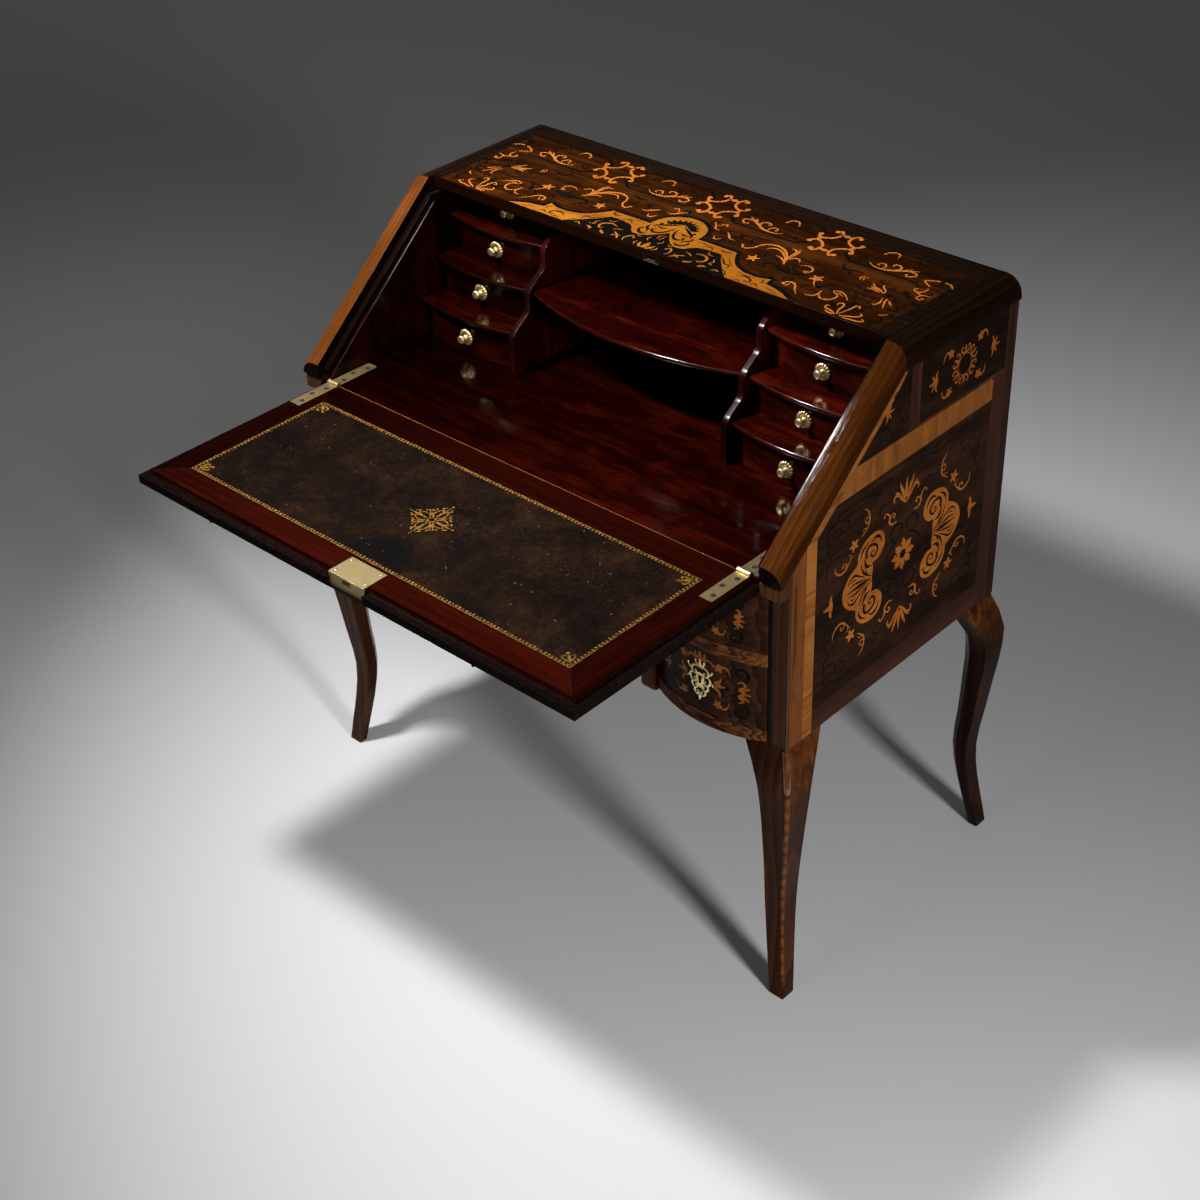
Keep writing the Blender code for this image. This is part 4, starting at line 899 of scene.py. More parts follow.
def top_light():
    """Light inlay of the right half of the top."""
    made = moved(cartouche(), (206, 434))
    made += crescent([(106, 448), (109.5, 457), (117.5, 460), (124.5, 455.5), (129.5, 445)], 3.4)
    made += crescent([(282, 449), (285, 456), (293, 461), (301, 458.5), (304.5, 448)], 3.4)
    made += moved(spray(), (90, 417)) + moved(spray(), (317, 417), flip=(-1, 1))
    made += drawn(
        ((104, 349), (108.5, 342), (115.5, 342.5), (123, 351), (124.5, 360), (130.5, 370), (140, 374.5),
         (150.5, 375.5), (164, 370), (175, 360), (183.5, 347.5), (190.5, 334), 2.2, 3.2, 3, 3.2, 4, 4, 3, 0.8),
        ((140, 358), (143.5, 364), (152, 367.5), (164, 363.5), (175, 354.5), (187, 339), 1.2, 3, 3, 0.7),
        ((164, 349), (173, 348), (183.5, 341), (190.5, 332), 0.8, 2.6, 0.7), ((104.6, 348.5), 2.2),
        ((168, 381), (175.5, 380.5), (181, 373.5), (181.5, 361.5), (183.5, 349.5), (187, 341), 1, 3.2, 3.2, 2,
         0.7),
        ((179, 385), (184, 377), (185, 362), (186, 344), 0.8, 3, 2, 0.7),
        ((187, 350), (191, 359), (199, 358.5), (204.5, 351), 1, 3, 2.6, 0.8),
        ((210, 344.5), (220, 349.5), (230.5, 348), (235.5, 339), (231, 332), 0.7, 2.4, 2.8, 1.4),
    )
    made += star(143.5, 322.5, 11, 25) + star(255, 325, 12, 70) + star(230, 333, 5, 10)
    made += drawn(
        ((256, 318), (262, 309), (268, 303), 2, 1.8, 0.6),
        ((226, 284), (229, 292), (237, 295), (245, 290), (251, 281), (262, 269), 2.4, 3, 3.2, 2.6, 0.8),
        ((227.5, 285), 2.4), ((231, 281), (236, 286), (234, 290), 1.6, 1.8, 0.7),
        ((271, 276.5), (277.5, 277.5), (283.5, 282), (284.5, 290.5), (283, 299), 1.2, 2.6, 2.6, 0.8),
        ((284, 299), (285.5, 290.5), (292.5, 282), (299.5, 280), (308, 285), (311, 294), (307.5, 302.5),
         (300, 306), (295.5, 310), 1, 2.2, 2.8, 2.8, 2.2, 0.9),
        ((295.5, 309.5), (305, 313), (315.5, 309.5), (328, 298), 0.9, 2.8, 2.6, 0.7),
        ((299, 304), (308, 307), (317, 302), 0.7, 1.8, 0.7),
    )
    made += strokes((1.2, 3, 2.4, 0.7), [(324, 362), (333, 355), (345, 351), (353.5, 344)],
                    [(340, 367), (343.5, 360), (352, 353), (354, 345)], [(327, 345), (336.5, 346.5), (350, 343.5)],
                    [(328, 352), (337, 350.5), (347, 348)])
    made += strokes((0.9, 2.8, 2.4, 0.9), [(361, 333), (366, 320), (364, 310), (359, 311)],
                    [(368, 336), (371, 323.5), (380, 307)], [(373, 332), (380, 324), (385, 321.5)])
    made += strokes((1.4, 2.4, 3, 3, 1.6), [(326, 278), (325, 284), (331, 286), (335, 279), (336, 268), (341.5, 256)],
                    [(356, 286), (354, 292), (348, 290), (347, 279), (343, 258)],
                    [(366, 276), (371, 273), (368, 266), (358, 260), (346, 254)],
                    [(320, 271), (315, 268), (318, 262), (329, 259.5), (340, 254)],
                    [(377, 264), (382, 260), (377, 255.5), (366, 254), (352, 252)],
                    [(322, 255), (330, 253), (338, 252)])
    made += drawn(
        ((394, 424), (375.5, 413), (391, 401), 3.2, 3.4, 2.6),
        ((401, 424.5), (411, 422.5), (419, 415), 2.2, 3.4, 1.6),
        ((393, 395), (394.5, 386), (388.5, 377), (380, 380), (379.5, 386), 2, 3, 3.2, 2), ((381, 385), 2),
        ((388.5, 376.5), (395.5, 372), (402.5, 374), (411, 375.5), 2.6, 3, 1),
        ((397, 372), (396.5, 361.5), (404, 359), (406, 364), 2.2, 3, 1.8), ((404.6, 363.5), 1.9),
        ((386, 289), (392, 291), (396, 297), 0.9, 2.8, 0.8),
        ((303, 374), (300, 367), (304, 360), 0.8, 2.8, 0.8),
        ((309, 373), (305, 367), (308, 361), 0.7, 2.2, 0.7),
        ((22, 385), (31, 376), (37, 367), (46, 365), 0.8, 3.2, 2.8, 0.8),
        ((34, 374), (38, 383), (44, 387), (47, 381), 0.8, 2.4, 2.4, 1.6),
        ((61, 367), (70, 359), (77, 352), (86, 352), 1.6, 3.2, 2.4, 0.7),
        ((53, 348), (56, 340), (62, 339), (66, 345), 0.9, 2.6, 2.4, 1.6),
    )
    return made


CURLS = (
    (26, 384, 7.0, 30), (66, 452, 7.0, 200), (86, 436, 6.0, 80), (140, 446, 7.0, 330), (152, 414, 6.5, 140),
    (146, 338, 7.5, 250), (240, 448, 7.0, 20), (262, 420, 6.5, 190), (240, 340, 7.5, 120), (300, 302, 7.5, 300),
    (348, 436, 7.0, 60), (402, 418, 7.0, 210), (402, 380, 6.5, 330), (404, 334, 7.0, 90), (330, 340, 6.5, 230),
    (290, 272, 7.0, 40), (404, 300, 6.5, 150), (226, 300, 7.0, 10),
)


def top_dark():
    """Black leaves and curls of the right half of the top."""
    made = drawn(
        ((167, 312), (169, 321), (180, 325), (193, 320), (208, 315.5), (223, 318), (236, 323.5), 2.7, 5.4,
         5.9, 5.9, 5.4, 1.4),
        ((173, 309), (170, 314), 3.2, 4.1), ((172, 309), 2.4),
        ((194, 334), (201, 327), (213, 319), 1.4, 5.7, 1.9),
        ((206, 339), (212, 329), (222, 324.5), (236, 323.5), 1.2, 5.4, 4.9, 1.4), ((253, 295), 2.8),
        ((254, 297), (266.5, 307.5), (274, 303.5), (276, 313), (286, 325), 2.2, 4.9, 5.4, 4.6, 1.1),
        ((262, 309), (270, 300), 3.2, 1.1),
        ((258, 388), (261.5, 377.5), (269, 374), (277.5, 375.5), (288, 380), (298, 376.5), 1.2, 4.6, 5.1, 4.6,
         4.1, 1.1),
        ((276, 374), (281, 367), (287, 366), 4.1, 3.5, 1.1), ((262, 381), (256, 384), 3.2, 1.1),
    )
    made += curl(333, 376, 6.5, 2.2, 160) + curl(316, 347, 6.0, 2.2, 60) + curl(354, 364, 4.6, 2.4, 200)
    made += dot(339, 321.5, 2.4)
    made += drawn(
        (4.1, (359, 350), (364, 344), (366, 336), 10.8), ((378, 346), (377, 337), (386, 332), 1.4, 4.6, 3.2),
        ((386, 333), 2.2),
    )
    made += stroke([(388, 322), (397, 319), (398, 312), (388, 307.5), (380, 309)], 2.2, 4.6, 4.3, 3.5, 1.1)
    made += curl(364, 297.5, 6.0, 2.2, 20) + curl(352, 326, 4.4, 2.0, 100)
    made += drawn(
        ((313, 285), (318, 277), (327.5, 278.5), (335, 284), (342, 294), (347, 283), (355.5, 280),
         (362.5, 282.5), (361, 289), 1.6, 5.9, 6.2, 6.5, 5.7, 4.3, 1.6),
        ((341.5, 291), 4.2), ((338, 296), (342, 300), (346, 297), 1.4, 4.1, 1.4),
        ((384, 273), (388, 265), (396.5, 267), (399, 278), (393, 285), 1.6, 5.4, 5.1, 4.3, 1.2),
        ((396, 266), (394, 256), (398, 252), 4.1, 3.5, 1.4),
        ((372, 396), (380, 392), (386, 398), 1.4, 4.6, 1.4), (5.4, (372, 366), (381, 362), (392, 352), 10.8),
        (4.1, (398, 350), (410, 344), (418, 352), 9.5), ((372, 446), (378, 438), (386, 436), 1.4, 4.9, 1.4),
        (5.4, (394, 436), (402, 441), (416, 446), 9.5), (4.1, (396, 428), (402, 433), (404, 442), 8.1),
        ((326, 452), (334, 458), (342, 452), (352, 455), 1.2, 4.6, 4.1, 1.2),
        ((46, 436), (54, 440), (62, 436), 1.4, 5.4, 1.4), ((44, 428), (50, 430), (52, 424), 1.2, 4.1, 1.2),
        ((98, 383), (110, 379), (122, 382), (130, 385), 1.2, 4.9, 4.1, 1.2),
        ((77, 379), (84, 370), (80, 361), (86, 356), 1.2, 4.6, 4.1, 1.2),
        ((92, 378), (88, 368), (94, 360), 1.2, 4.1, 1.2),
    )
    made += stroke([(58, 376), (64, 366), (60, 358)], 1.2, 4.9, 1.6)
    made += stroke([(108, 374), (106, 364), (112, 358), (118, 362)], 1.1, 3.8, 3.5, 1.9)
    made += curl(152, 310, 5.0, 1.8, 40) + curl(70, 340, 4.0, 1.8, 220)
    made += drawn(
        ((221, 372), (228, 364), (238, 360), 0.9, 3, 0.9),
        ((300, 334), (316, 328), (328, 318), (336, 302), 0.8, 2.4, 2.4, 0.8),
        ((212, 362), (232, 356), (270, 352), (300, 350), 0.7, 1.6, 1.4, 0.7),
    )
    for u, v, radius, turn in CURLS:
        made += curl(u, v, radius, 0.42 * radius, turn)
    return made


def brow_line():
    """Outer edge of the lambrequin's right half, from the crown to the front edge."""
    return flow(CROWN, 5) + BROW + flow(SWEEP, 5)[1:] + flow(TAIL, 5)


def lambrequin(panel, centre):
    """Yellow lambrequin with a shell at its crown, on a black ground with sprigs, all scorched and engraved."""
    edge = brow_line()
    inner = flow(INNER, 5)
    cover = edge + [(-u, v) for u, v in reversed(edge)]
    band = edge[::-1] + [(-u, v) for u, v in edge[1:] + inner[:-1]] + inner[::-1]
    panel.lay("ebony_ground", ebony, moved(plain(cover), centre), 0.17)
    panel.lay("lambrequin", yellow, moved(plain(band), centre), 0.22)
    sprigs = drawn(
        ((76, 282), (88, 285.5), (98.5, 280), (101, 271), (95, 264), (90, 266), 1.2, 3.6, 4, 3, 1.4),
        ((31, 269), (36, 273), (41, 268), (43, 259), (39, 252.5), 1.8, 3.4, 3.2, 2.4, 1), ((31.5, 268.5), 2),
        ((50, 252.5), (55, 258), (60, 263), (67, 267), 2, 3.4, 3.2, 2.4),
        ((52, 262), (58, 260), (64, 255), 1, 3.2, 1.6), (3, (0, 251), (-1, 260), (0, 271), 8),
        (3, (5, 251), (11, 257), (13, 266), 5.5), ((16, 252), (21, 258), (19, 264), 1, 2.6, 0.9),
        ((87, 299), (92, 292), (101, 291), 0.8, 2.4, 0.8), ((60, 279), (68, 277), (76, 272), 0.8, 2.4, 0.8),
        ((24, 280), (30, 278), (34, 281), 0.8, 2.4, 0.8),
        ((108, 284), (113, 277), (111, 270), (118, 267), 0.8, 2.6, 2.4, 0.8),
        (2, (76, 251.5), (84, 255), (88, 260), 4.5), (2, (104, 251.5), (108, 257), (116, 259), 5),
        ((126, 253), (132, 259), (139, 256), 0.9, 2.8, 0.9), ((2, 286), (4, 294), (2, 302), 0.8, 2.4, 0.8),
        ((9, 274), (14, 280), (11, 287), 0.8, 2.2, 0.8),
    )
    panel.lay("sprigs", yellow, moved(pair(sprigs), centre), 0.29)
    dark = []
    for angle, near, far in ((90, 15, 31), (72, 13, 31), (54, 13, 31), (36, 15, 32), (18, 18, 33)):
        cos, sin = math.cos(math.radians(angle)), math.sin(math.radians(angle))
        dark += leaf([(k * cos, 333 + k * sin) for k in (near, (near + far) / 2, far)], 8.7, 2.8)
    dark += drawn(
        ((3, 343), (12, 337), (22, 331), (31, 325), (36, 317), 1.3, 3.6, 5.3, 4.5, 1.7), ((31, 331), 2.8),
        ((3, 329), (6, 316), (12, 306), (20, 301), (28, 304), (29, 310), (24, 311), 1.3, 3.9, 4.5, 4.2, 3.4,
         1.7),
        ((14, 322), (22, 319), (30, 320), 1.1, 3.9, 1.1),
        ((42, 318), (41, 309), (35, 304), (33, 297), 1.1, 4.2, 3.9, 1.4),
        ((26, 291), (34, 288), (42, 291), (46, 299), (43, 305), 1.1, 5, 5, 3.6, 1.3),
        ((9, 348), (14, 343), (13, 336), 1.1, 3.6, 1.1),
    )
    panel.lay("shell_cuts", ebony, moved(pair(dark), centre), 0.30)
    burnt = drawn(
        ((68, 306), (74, 311), (82, 311), (86, 305), 1.2, 2.7, 2.7, 1.2),
        ((52, 316), (62, 317), (70, 315), (80, 317), 0.8, 1.8, 1.8, 0.8),
        ((96, 314), (104, 312), (112, 315), (110, 319), 1.2, 3, 2.7, 1.2),
        ((110, 296), (119, 292), (127, 283), (138, 281), (139, 272), 1, 2.7, 3, 2.7, 1),
        ((122, 300), (132, 290), (142, 282), 0.8, 1.8, 0.8),
        ((136, 268), (146, 262), (152, 254), 0.9, 2.4, 0.9),
        ((166, 262), (174, 268), (184, 268), (192, 262), (189, 256), (183, 258), 1.4, 3.3, 3.6, 3, 1.8),
        ((160, 274), (176, 272), (192, 273), 0.8, 1.8, 0.8), ((196, 254), (203, 259), (209, 255), 1.2, 3, 1.2),
        ((168, 251), (176, 254), (182, 251), 1, 2.7, 1), ((218, 259), (232, 257), (246, 252), 0.8, 2, 0.8),
        ((203, 277), (207, 270), (206, 264), 0.9, 2.4, 0.9),
    )
    panel.lay("scorch", scorch, moved(pair(burnt), centre), 0.30)
    return pair([ribbon([(u, v + 1.5) for u, v in edge], lambda share: 12.0)])


def dress_top():
    panel = Panel("inlay_top", "case", lambda u, v, rise: Vector((u * MM, v * MM + SHIFT, 0.987 + rise)))
    centre = (TOP_CENTRE, 0)
    panel.lay("field", field, oblong(-424, 248.6, 416, 470), 0.04)
    bands = oblong(-435.5, 470.6, 435.5, 505)
    bands += oblong(-435.5, 248.6, -424.6, 470) + oblong(416.6, 248.6, 435.5, 470)
    panel.lay("frame", russet_x, bands, 0.04)
    strings = []
    for at in (-210, 0, 210):
        strings += moved(pair(line([(105, 467), (48, 467), (31, 450)], 4.2)), (at, 0))
        strings += moved(pair(line([(105, 400), (48, 400), (29, 420)], 5.6)), (at, 0))
    strings += line([(-416, 467), (-315, 467)], 4.2) + line([(315, 467), (416, 467)], 4.2)
    strings += line([(-376, 400), (-315, 400)], 5.6) + line([(315, 400), (376, 400)], 5.6)
    for sign, _ in SIDES:
        strings += line([(sign * 418, 249), (sign * 418, 352), (sign * 408, 362), (sign * 408, 380)], 3.2)
    shadow = lambrequin(panel, centre)
    dark = pair(top_dark(), TOP_CENTRE) + moved(strings + shadow, centre)
    panel.lay("ebony", ebony, dark, 0.10)
    light = pair(top_light(), TOP_CENTRE) + moved(cartouche(), (TOP_CENTRE, 434))
    panel.lay("boxwood", boxwood, light, 0.16)


dress_top()


# Turned and cast metal.


def turned(name, body, places, out, profile, finish, flutes=0, depth=0.0, sides=48):
    """Round brass pieces on one mesh: profile is (radius, height) in millimetres; flutes scallop the wide part."""
    out = Vector(out)
    side = out.orthogonal().normalized()
    other = out.cross(side)
    widest = max(radius for radius, _ in profile)
    points = []
    faces = []
    for place in places:
        for step, (radius, height) in enumerate(profile):
            start = len(points)
            fluted = flutes and height < FLUTED_TO and radius > FLUTED_FROM
            deep = depth * (radius - FLUTED_FROM) / (widest - FLUTED_FROM) if fluted else 0.0
            for i in range(sides):
                angle = 2 * math.pi * i / sides
                wave = (abs(math.cos(flutes * angle / 2)) ** 0.7 - 1) * deep
                reach = (radius + 0.5 * wave * (radius / widest) ** 4) * MM
                around = side * math.cos(angle) + other * math.sin(angle)
                points.append(Vector(place) + around * reach + out * max(height + wave, 0.1) * MM)
                if step:
                    j = (i + 1) % sides
                    faces.append((start - sides + i, start - sides + j, start + j, start + i))
        faces.append(tuple(range(len(points) - sides, len(points))))
    piece = add_piece(name, body, points, faces, finish)
    if flutes:
        pitch = sides // flutes
        hollow = range(pitch // 2 - 2, pitch // 2 + 2)
        for face in piece.data.polygons[:FLUTED_ROWS * sides]:
            if (face.index % sides) % pitch in hollow:
                face.material_index = 1
    return piece


PULL = [
    (13.4, 0.3), (13.3, 1.0), (12.4, 2.1), (10.8, 2.7), (8.8, 2.9), (7.0, 2.7), (5.6, 2.1), (4.2, 2.4), (3.3, 3.4),
    (2.9, 5.0), (2.9, 7.4), (3.6, 8.8), (5.2, 9.6), (6.3, 10.5), (6.6, 11.5), (6.6, 12.8), (6.1, 13.6), (4.8, 14.1),
    (2.6, 14.4), (1.1, 14.5),
]
FLUTED_TO = 2.95
FLUTED_FROM = 6.5
FLUTED_ROWS = 6


def pulls():
    """Small brass pulls: a fluted rosette with a button on a short neck."""
    for _, tag in SIDES:
        for tier in TIERS:
            low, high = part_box(f"knob_{tag}_{tier}")
            seat = ((low.x + high.x) / 2, high.y, (low.z + high.z) / 2)
            drawer = f"nest_drawer_{tag}_{tier}"
            piece = turned(f"pull_{tag}_{tier}", drawer, [seat], (0, -1, 0), PULL, gilt_brass, 16, 1.6, 128)
            piece.data.materials.append(tarnish)
            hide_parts(f"knob_{tag}_{tier}")


SCREW = [(3.3, 0.03), (3.1, 0.08), (2.2, 0.11), (0.8, 0.12)]
PIN = [(1.9, 0.03), (1.6, 0.5), (0.9, 0.8), (0.3, 0.88)]
HINGE_MIDDLE = 408.6
SCREW_SPOTS = ((2.5, 18), (-3.0, 42), (2.5, 67))
SLOT_EDGE = 0.6


def on_bed(u, v, rise):
    return Vector((u * MM, v * MM + SHIFT, BED_TOP + rise))


def fixings():
    """Hinge screws with painted shade in their slots and round their seats, the lock plate's pins, painted shade in
    the gap round its bolt, and a brass line on the keep's lip as a painted highlight.
    """
    for sign, tag in SIDES:
        for body, toward in (("case", 1), ("fall", -1)):
            start = -HINGE_REACH / MM
            spots = [(sign * HINGE_MIDDLE + shift, start + toward * along) for shift, along in SCREW_SPOTS]
            places = [on_bed(u, v, 0.0) for u, v in spots]
            turned(f"screws_{body}_{tag}", body, places, (0, 0, 1), SCREW, steel)
            panel = Panel(f"screw_slots_{body}_{tag}", body, on_bed)
            slots = []
            seats = []
            for number, spot in enumerate(spots):
                slots += moved(line([(-2.7, 0), (2.7, 0)], 0.9), spot, 25 + 50 * number + 15 * sign)
                seats += dot(*spot, 4.0)
            # Painted shade: dark lines in the screw slots and dark rings in the crease round each screw head.
            panel.lay("cut", painted_hole_shade, slots, 0.14, "brass")
            panel.lay("seat", painted_hole_shade, seats, 0.02, "brass")
    low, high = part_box("lock_plate")
    front = low.y
    pins = [(x, y, BED_TOP) for x in (low.x + 0.006, high.x - 0.006) for y in (front + 0.008, high.y - 0.006)]
    turned("lock_pins", "fall", pins, (0, 0, 1), PIN, brass)
    low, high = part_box("lock_bolt")
    a, b = low.x / MM - SLOT_EDGE, high.x / MM + SLOT_EDGE
    c, d = low.z / MM - SLOT_EDGE, high.z / MM + SLOT_EDGE
    panel = Panel("lock_slot", "fall", lambda u, v, rise: Vector((u * MM, front - rise, v * MM)))
    # Painted shade in the gap round the lock bolt.
    panel.lay("edge", painted_hole_shade, line([(a, c), (b, c), (b, d), (a, d), (a, c)], 2 * SLOT_EDGE), 0.05, "brass")
    low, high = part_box("lock_keep")
    middle = (low.x + high.x) / 2 / MM
    lip = low.z / MM + 1.4
    panel = Panel("keep", "case", lambda u, v, rise: Vector((u * MM, low.y - rise, v * MM)))
    # Painted highlight: a brass line along the keep's lower edge, where the light catches it.
    panel.lay("lip", brass, line([(middle - 14, lip), (middle + 14, lip)], 1.6), 0.05, "brass")


def escutcheon():
    """Openwork keyhole plate in cast gilt brass, about the keyhole."""
    half = drawn(
        ((3, 27), (12, 27), (19, 19), (15, 10), (8, 12), (10, 17), 4, 4.6, 4.6, 4, 3, 2),
        ((15, 12), (22, 6), (20, -5), (12, -8), (8, -2), (12, 0), 3, 4.8, 4.6, 4, 3, 2),
        ((14, -7), (18, -14), (13, -21), (6, -18), (8, -13), 3, 4.6, 4.4, 3.4, 2),
        ((10, -20), (12, -28), (6, -33), (2, -28), (5, -25), 3, 4.2, 4, 3, 2),
        ((6, 8), (8, 2), (5, -6), (7, -14), 3, 3.4, 3), (2, (20, 18), (25, 21), (27, 27), 5),
        (2, (20, 0), (26, 0), (29, -5), 5), (2, (3, 28), (9, 34), (10, 40), 5), ((10, 16), 2), ((12, -1), 2),
        ((8.5, -14), 2), ((5, -26), 2),
    )
    plate = [(0, 15), (7, 12), (9.5, 4), (7, -5), (6, -13), (0, -18), (-6, -13), (-7, -5), (-9.5, 4), (-7, 12)]
    ends = leaf([(0, 26), (0, 34), (0, 44)], 8, 3) + leaf([(0, -30), (0, -37), (0, -44)], 7, 3)
    return fill(plate, 3) + pair(half) + ends


def keyhole():
    return dot(0, 3.4, 2.9) + plain([(-1.5, 3), (1.5, 3), (1.9, -5.5), (-1.9, -5.5)])


def lay_escutcheon(panel, centre, turn=0):
    panel.lay("escutcheon", gilt_brass, moved(escutcheon(), centre, turn, 0.80), 0.5, "brass", crown=1.3)
    # Painted shade in the keyhole.
    panel.lay("keyhole", painted_hole_shade, moved(keyhole(), centre, turn, 1.1), 0.9, "brass")


# Drawer fronts.


def drawer_light():
    """Right half of a drawer front's light inlay, about the drawer's middle."""
    made = moved(hook(), (31, 32), flip=(-1, 1)) + moved(hook(), (30, -31), flip=(-1, -1))
    made += drawn(
        ((60, 16), (66, 20), (71, 13), (63, 6), (70, 1), (62, -6), (69, -12), (62, -17), 1.4, 3.4, 4.2, 4.2,
         3.4, 1.4),
        (2, (66, 5), (72, 8), (78, 12), 5), (2, (67, 0), (74, 0), (80, -1), 5),
        (2, (66, -5), (72, -8), (77, -12), 5), (2, (24, 4), (32, 8), (36, 17), 6.5),
        (3, (24, 1), (34, 2), (43, 3), 6.5), (2, (24, -3), (32, -8), (34, -18), 6),
        ((6, 32), (13, 38), (21, 35), (23, 29), 3.6, 4, 1), (2, (2, 32), (8, 40), (8, 48), 5),
    )
    return made


def drawer_dark():
    made = drawn(
        ((44, 19), (37, 12), (36, 5), (46, 2), (37, -3), (38, -9), (44, -16), 1.5, 5, 5, 5, 1.5),
        ((64, 21), (73, 24), (74, 36), (64, 41), (57, 35), (62, 29), (67, 33), 2, 5, 4.4, 3.4, 1.5),
        ((64, -20), (73, -24), (74, -36), (64, -42), (56, -35), (62, -28), (68, -33), 2, 5, 4.4, 3.4, 1.5),
    )
    return made + strokes((1, 3, 1), [(50, 36), (56, 42), (50, 46)], [(46, -34), (50, -42), (44, -44)])


def bowed(sign):
    """Chord-wise front of a pedestal drawer: ten flats on a shallow bow."""
    half, middle, bow, steps = 98.3, 336.5, 24.0, 10

    def depth(u):
        share = min(max((u - middle + half) / (2 * half) * steps, 0), steps)
        low = min(int(share), steps - 1)
        ends = [1 - (2 * (low + k) / steps - 1) ** 2 for k in (0, 1)]
        return -1.0 - bow * (ends[0] + (ends[1] - ends[0]) * (share - low))

    return lambda u, v, rise: Vector((sign * u * MM, depth(u) * MM + SHIFT - rise, v * MM))


def dress_drawer(name, place, centre, grow):
    panel = Panel("inlay_" + name, name, place)
    light = pair(drawer_light()) + leaf([(0, 32), (0, 41), (0, 50)], 8, 3)
    panel.lay("boxwood", boxwood_front, moved(light, centre, grow=grow), 0.18)
    panel.lay("ebony", ebony, moved(pair(drawer_dark()), centre, grow=grow), 0.10)
    lay_escutcheon(panel, centre)


def flat_front(u, v, rise):
    return Vector((u * MM, -0.004 + SHIFT - rise, v * MM))


# The fall.


def lozenge():
    """Tooled arabesque in the middle of the leather."""
    arm = leaf([(8, 0), (24, 0), (42, 0)], 4.2, 5) + ring(0, 0, 5.5, 1.8) + dot(42, 0, 1.7)
    half = drawn(
        ((6, 3), (14, 9), (24, 8), (27, 3), (22, 2), 1.6, 2.4, 2.2, 1.4),
        ((26, 4), (32, 7), (36, 4), 1.6, 2, 1), ((12, 8), (18, 15), (24, 13), 1.4, 2, 1), ((31, 8.5), 1.6),
        ((24, 14), 1.6), ((8, 8), (12, 14), (17, 20), 1.6, 2.4, 1), ((17.5, 20), 1.7),
    )
    made = []
    for turn in (0, 90, 180, 270):
        made += moved(arm + half + moved(half, flip=(1, -1)), turn=turn)
    return made


def fleuron():
    """Tooled corner leaf, growing towards -u +v."""
    made = drawn(
        (3, (0, 0), (-7, 7), (-15, 15), 6), ((-15, 13.5), 2.6),
    )
    half = drawn(
        ((-2, 1), (-10, 1), (-16, 4), (-13, 8), 1.6, 3, 2.6, 1.2), ((-15.5, 3.5), 1.6),
    )
    return made + half + [[[(-v, -u) for u, v in rail] for rail in shape] for shape in half]


TOOLED_INSET = 2.2
TOOLED_PITCH = 6.4


def dress_leather():
    low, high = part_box("fall_leather")
    front, back = (low.y - SHIFT) / MM, (high.y - SHIFT) / MM
    a, b, c = high.x / MM - TOOLED_INSET, front + TOOLED_INSET, back - TOOLED_INSET
    made = []
    for ends in (((-a, b), (a, b)), ((-a, c), (a, c)), ((-a, b), (-a, c)), ((a, b), (a, c))):
        made += line(ends, 1.5)
    inner = TOOLED_PITCH / 2
    across = round(2 * a / TOOLED_PITCH)
    for i in range(1, across):
        u = -a + 2 * a * i / across
        made += dot(u, b + inner, 2.1, 9) + dot(u, c - inner, 2.1, 9)
    deep = round((c - b) / TOOLED_PITCH)
    for i in range(1, deep):
        v = b + (c - b) * i / deep
        made += dot(-a + inner, v, 2.1, 9) + dot(a - inner, v, 2.1, 9)
    for sign, _ in SIDES:
        for v, up in ((b + 7.5, 1), (c - 7.5, -1)):
            made += moved(fleuron(), (sign * (a - 7.5), v), flip=(sign, up))
    made += moved(lozenge(), (-4, (front + back) / 2))
    Panel("tooling", "fall", on_bed).lay("gold", gold, made, 0.03, "desk_leather")


FALL_LEAVES = 18


def dress_fall_outside():
    """Outside of the fall: it carries on the top's lambrequin and has a panel of scrolls below."""
    low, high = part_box("fall_panel")
    edge = (low.y - SHIFT) / MM
    span = (high.y - low.y) / MM
    wide = high.x / MM
    inner = wide - 34

    def place(u, v, rise):
        return Vector((u * MM, (edge + v) * MM + SHIFT, low.z - rise))

    panel = Panel("inlay_fall", "fall", place)
    panel.lay("field", field, oblong(-wide + 26, 7, wide - 26, span - 30), 0.04)
    bands = oblong(-wide + 1, span - 28, wide - 1, span - 2)
    bands += oblong(-wide + 1, 1, -wide + 24, span - 29) + oblong(wide - 24, 1, wide - 1, span - 29)
    panel.lay("frame", russet_x, bands, 0.04)
    centre = (TOP_CENTRE, -248.5)
    medal = (0, 228)
    scroll, cuts = scroll_leaf()
    dark = moved(lambrequin(panel, centre), centre) + line([(-inner, span - 38), (inner, span - 38)], 4)
    dark += line([(-inner, 8), (-inner, span - 36)], 4) + line([(inner, 8), (inner, span - 36)], 4)
    panel.lay("ebony", ebony, dark + moved(pair(top_dark()[:FALL_LEAVES]), centre), 0.10)
    light = moved(pair(scroll) + side_sprays() + rose(), medal, grow=0.62)
    half = moved(spray(), (190, 232), flip=(-1, 1)) + moved(spray(), (190, 206), flip=(-1, -1))
    light += pair(half + moved(spray(), (310, 228)))
    half = moved(cartouche(), (250, 228), grow=0.8) + flower(330, 120, 6, 1, 16, 7)
    light += pair(half + moved(spray(), (330, 80), 30) + moved(spray(), (350, 160), -40))
    half = moved(spray(), (130, 290)) + moved(spray(), (290, 290), flip=(-1, 1))
    light += pair(half + flower(210, 292, 6, 1, 14, 7) + moved(spray(), (230, 130), 160))
    panel.lay("boxwood", boxwood, light, 0.16)
    panel.lay("engraving", ebony, moved(pair(cuts) + dot(0, 2.5, 5.5), medal, grow=0.62), 0.26)
    lay_escutcheon(panel, (15.5, 52), 180)


# Corner lines of the case and the front legs.


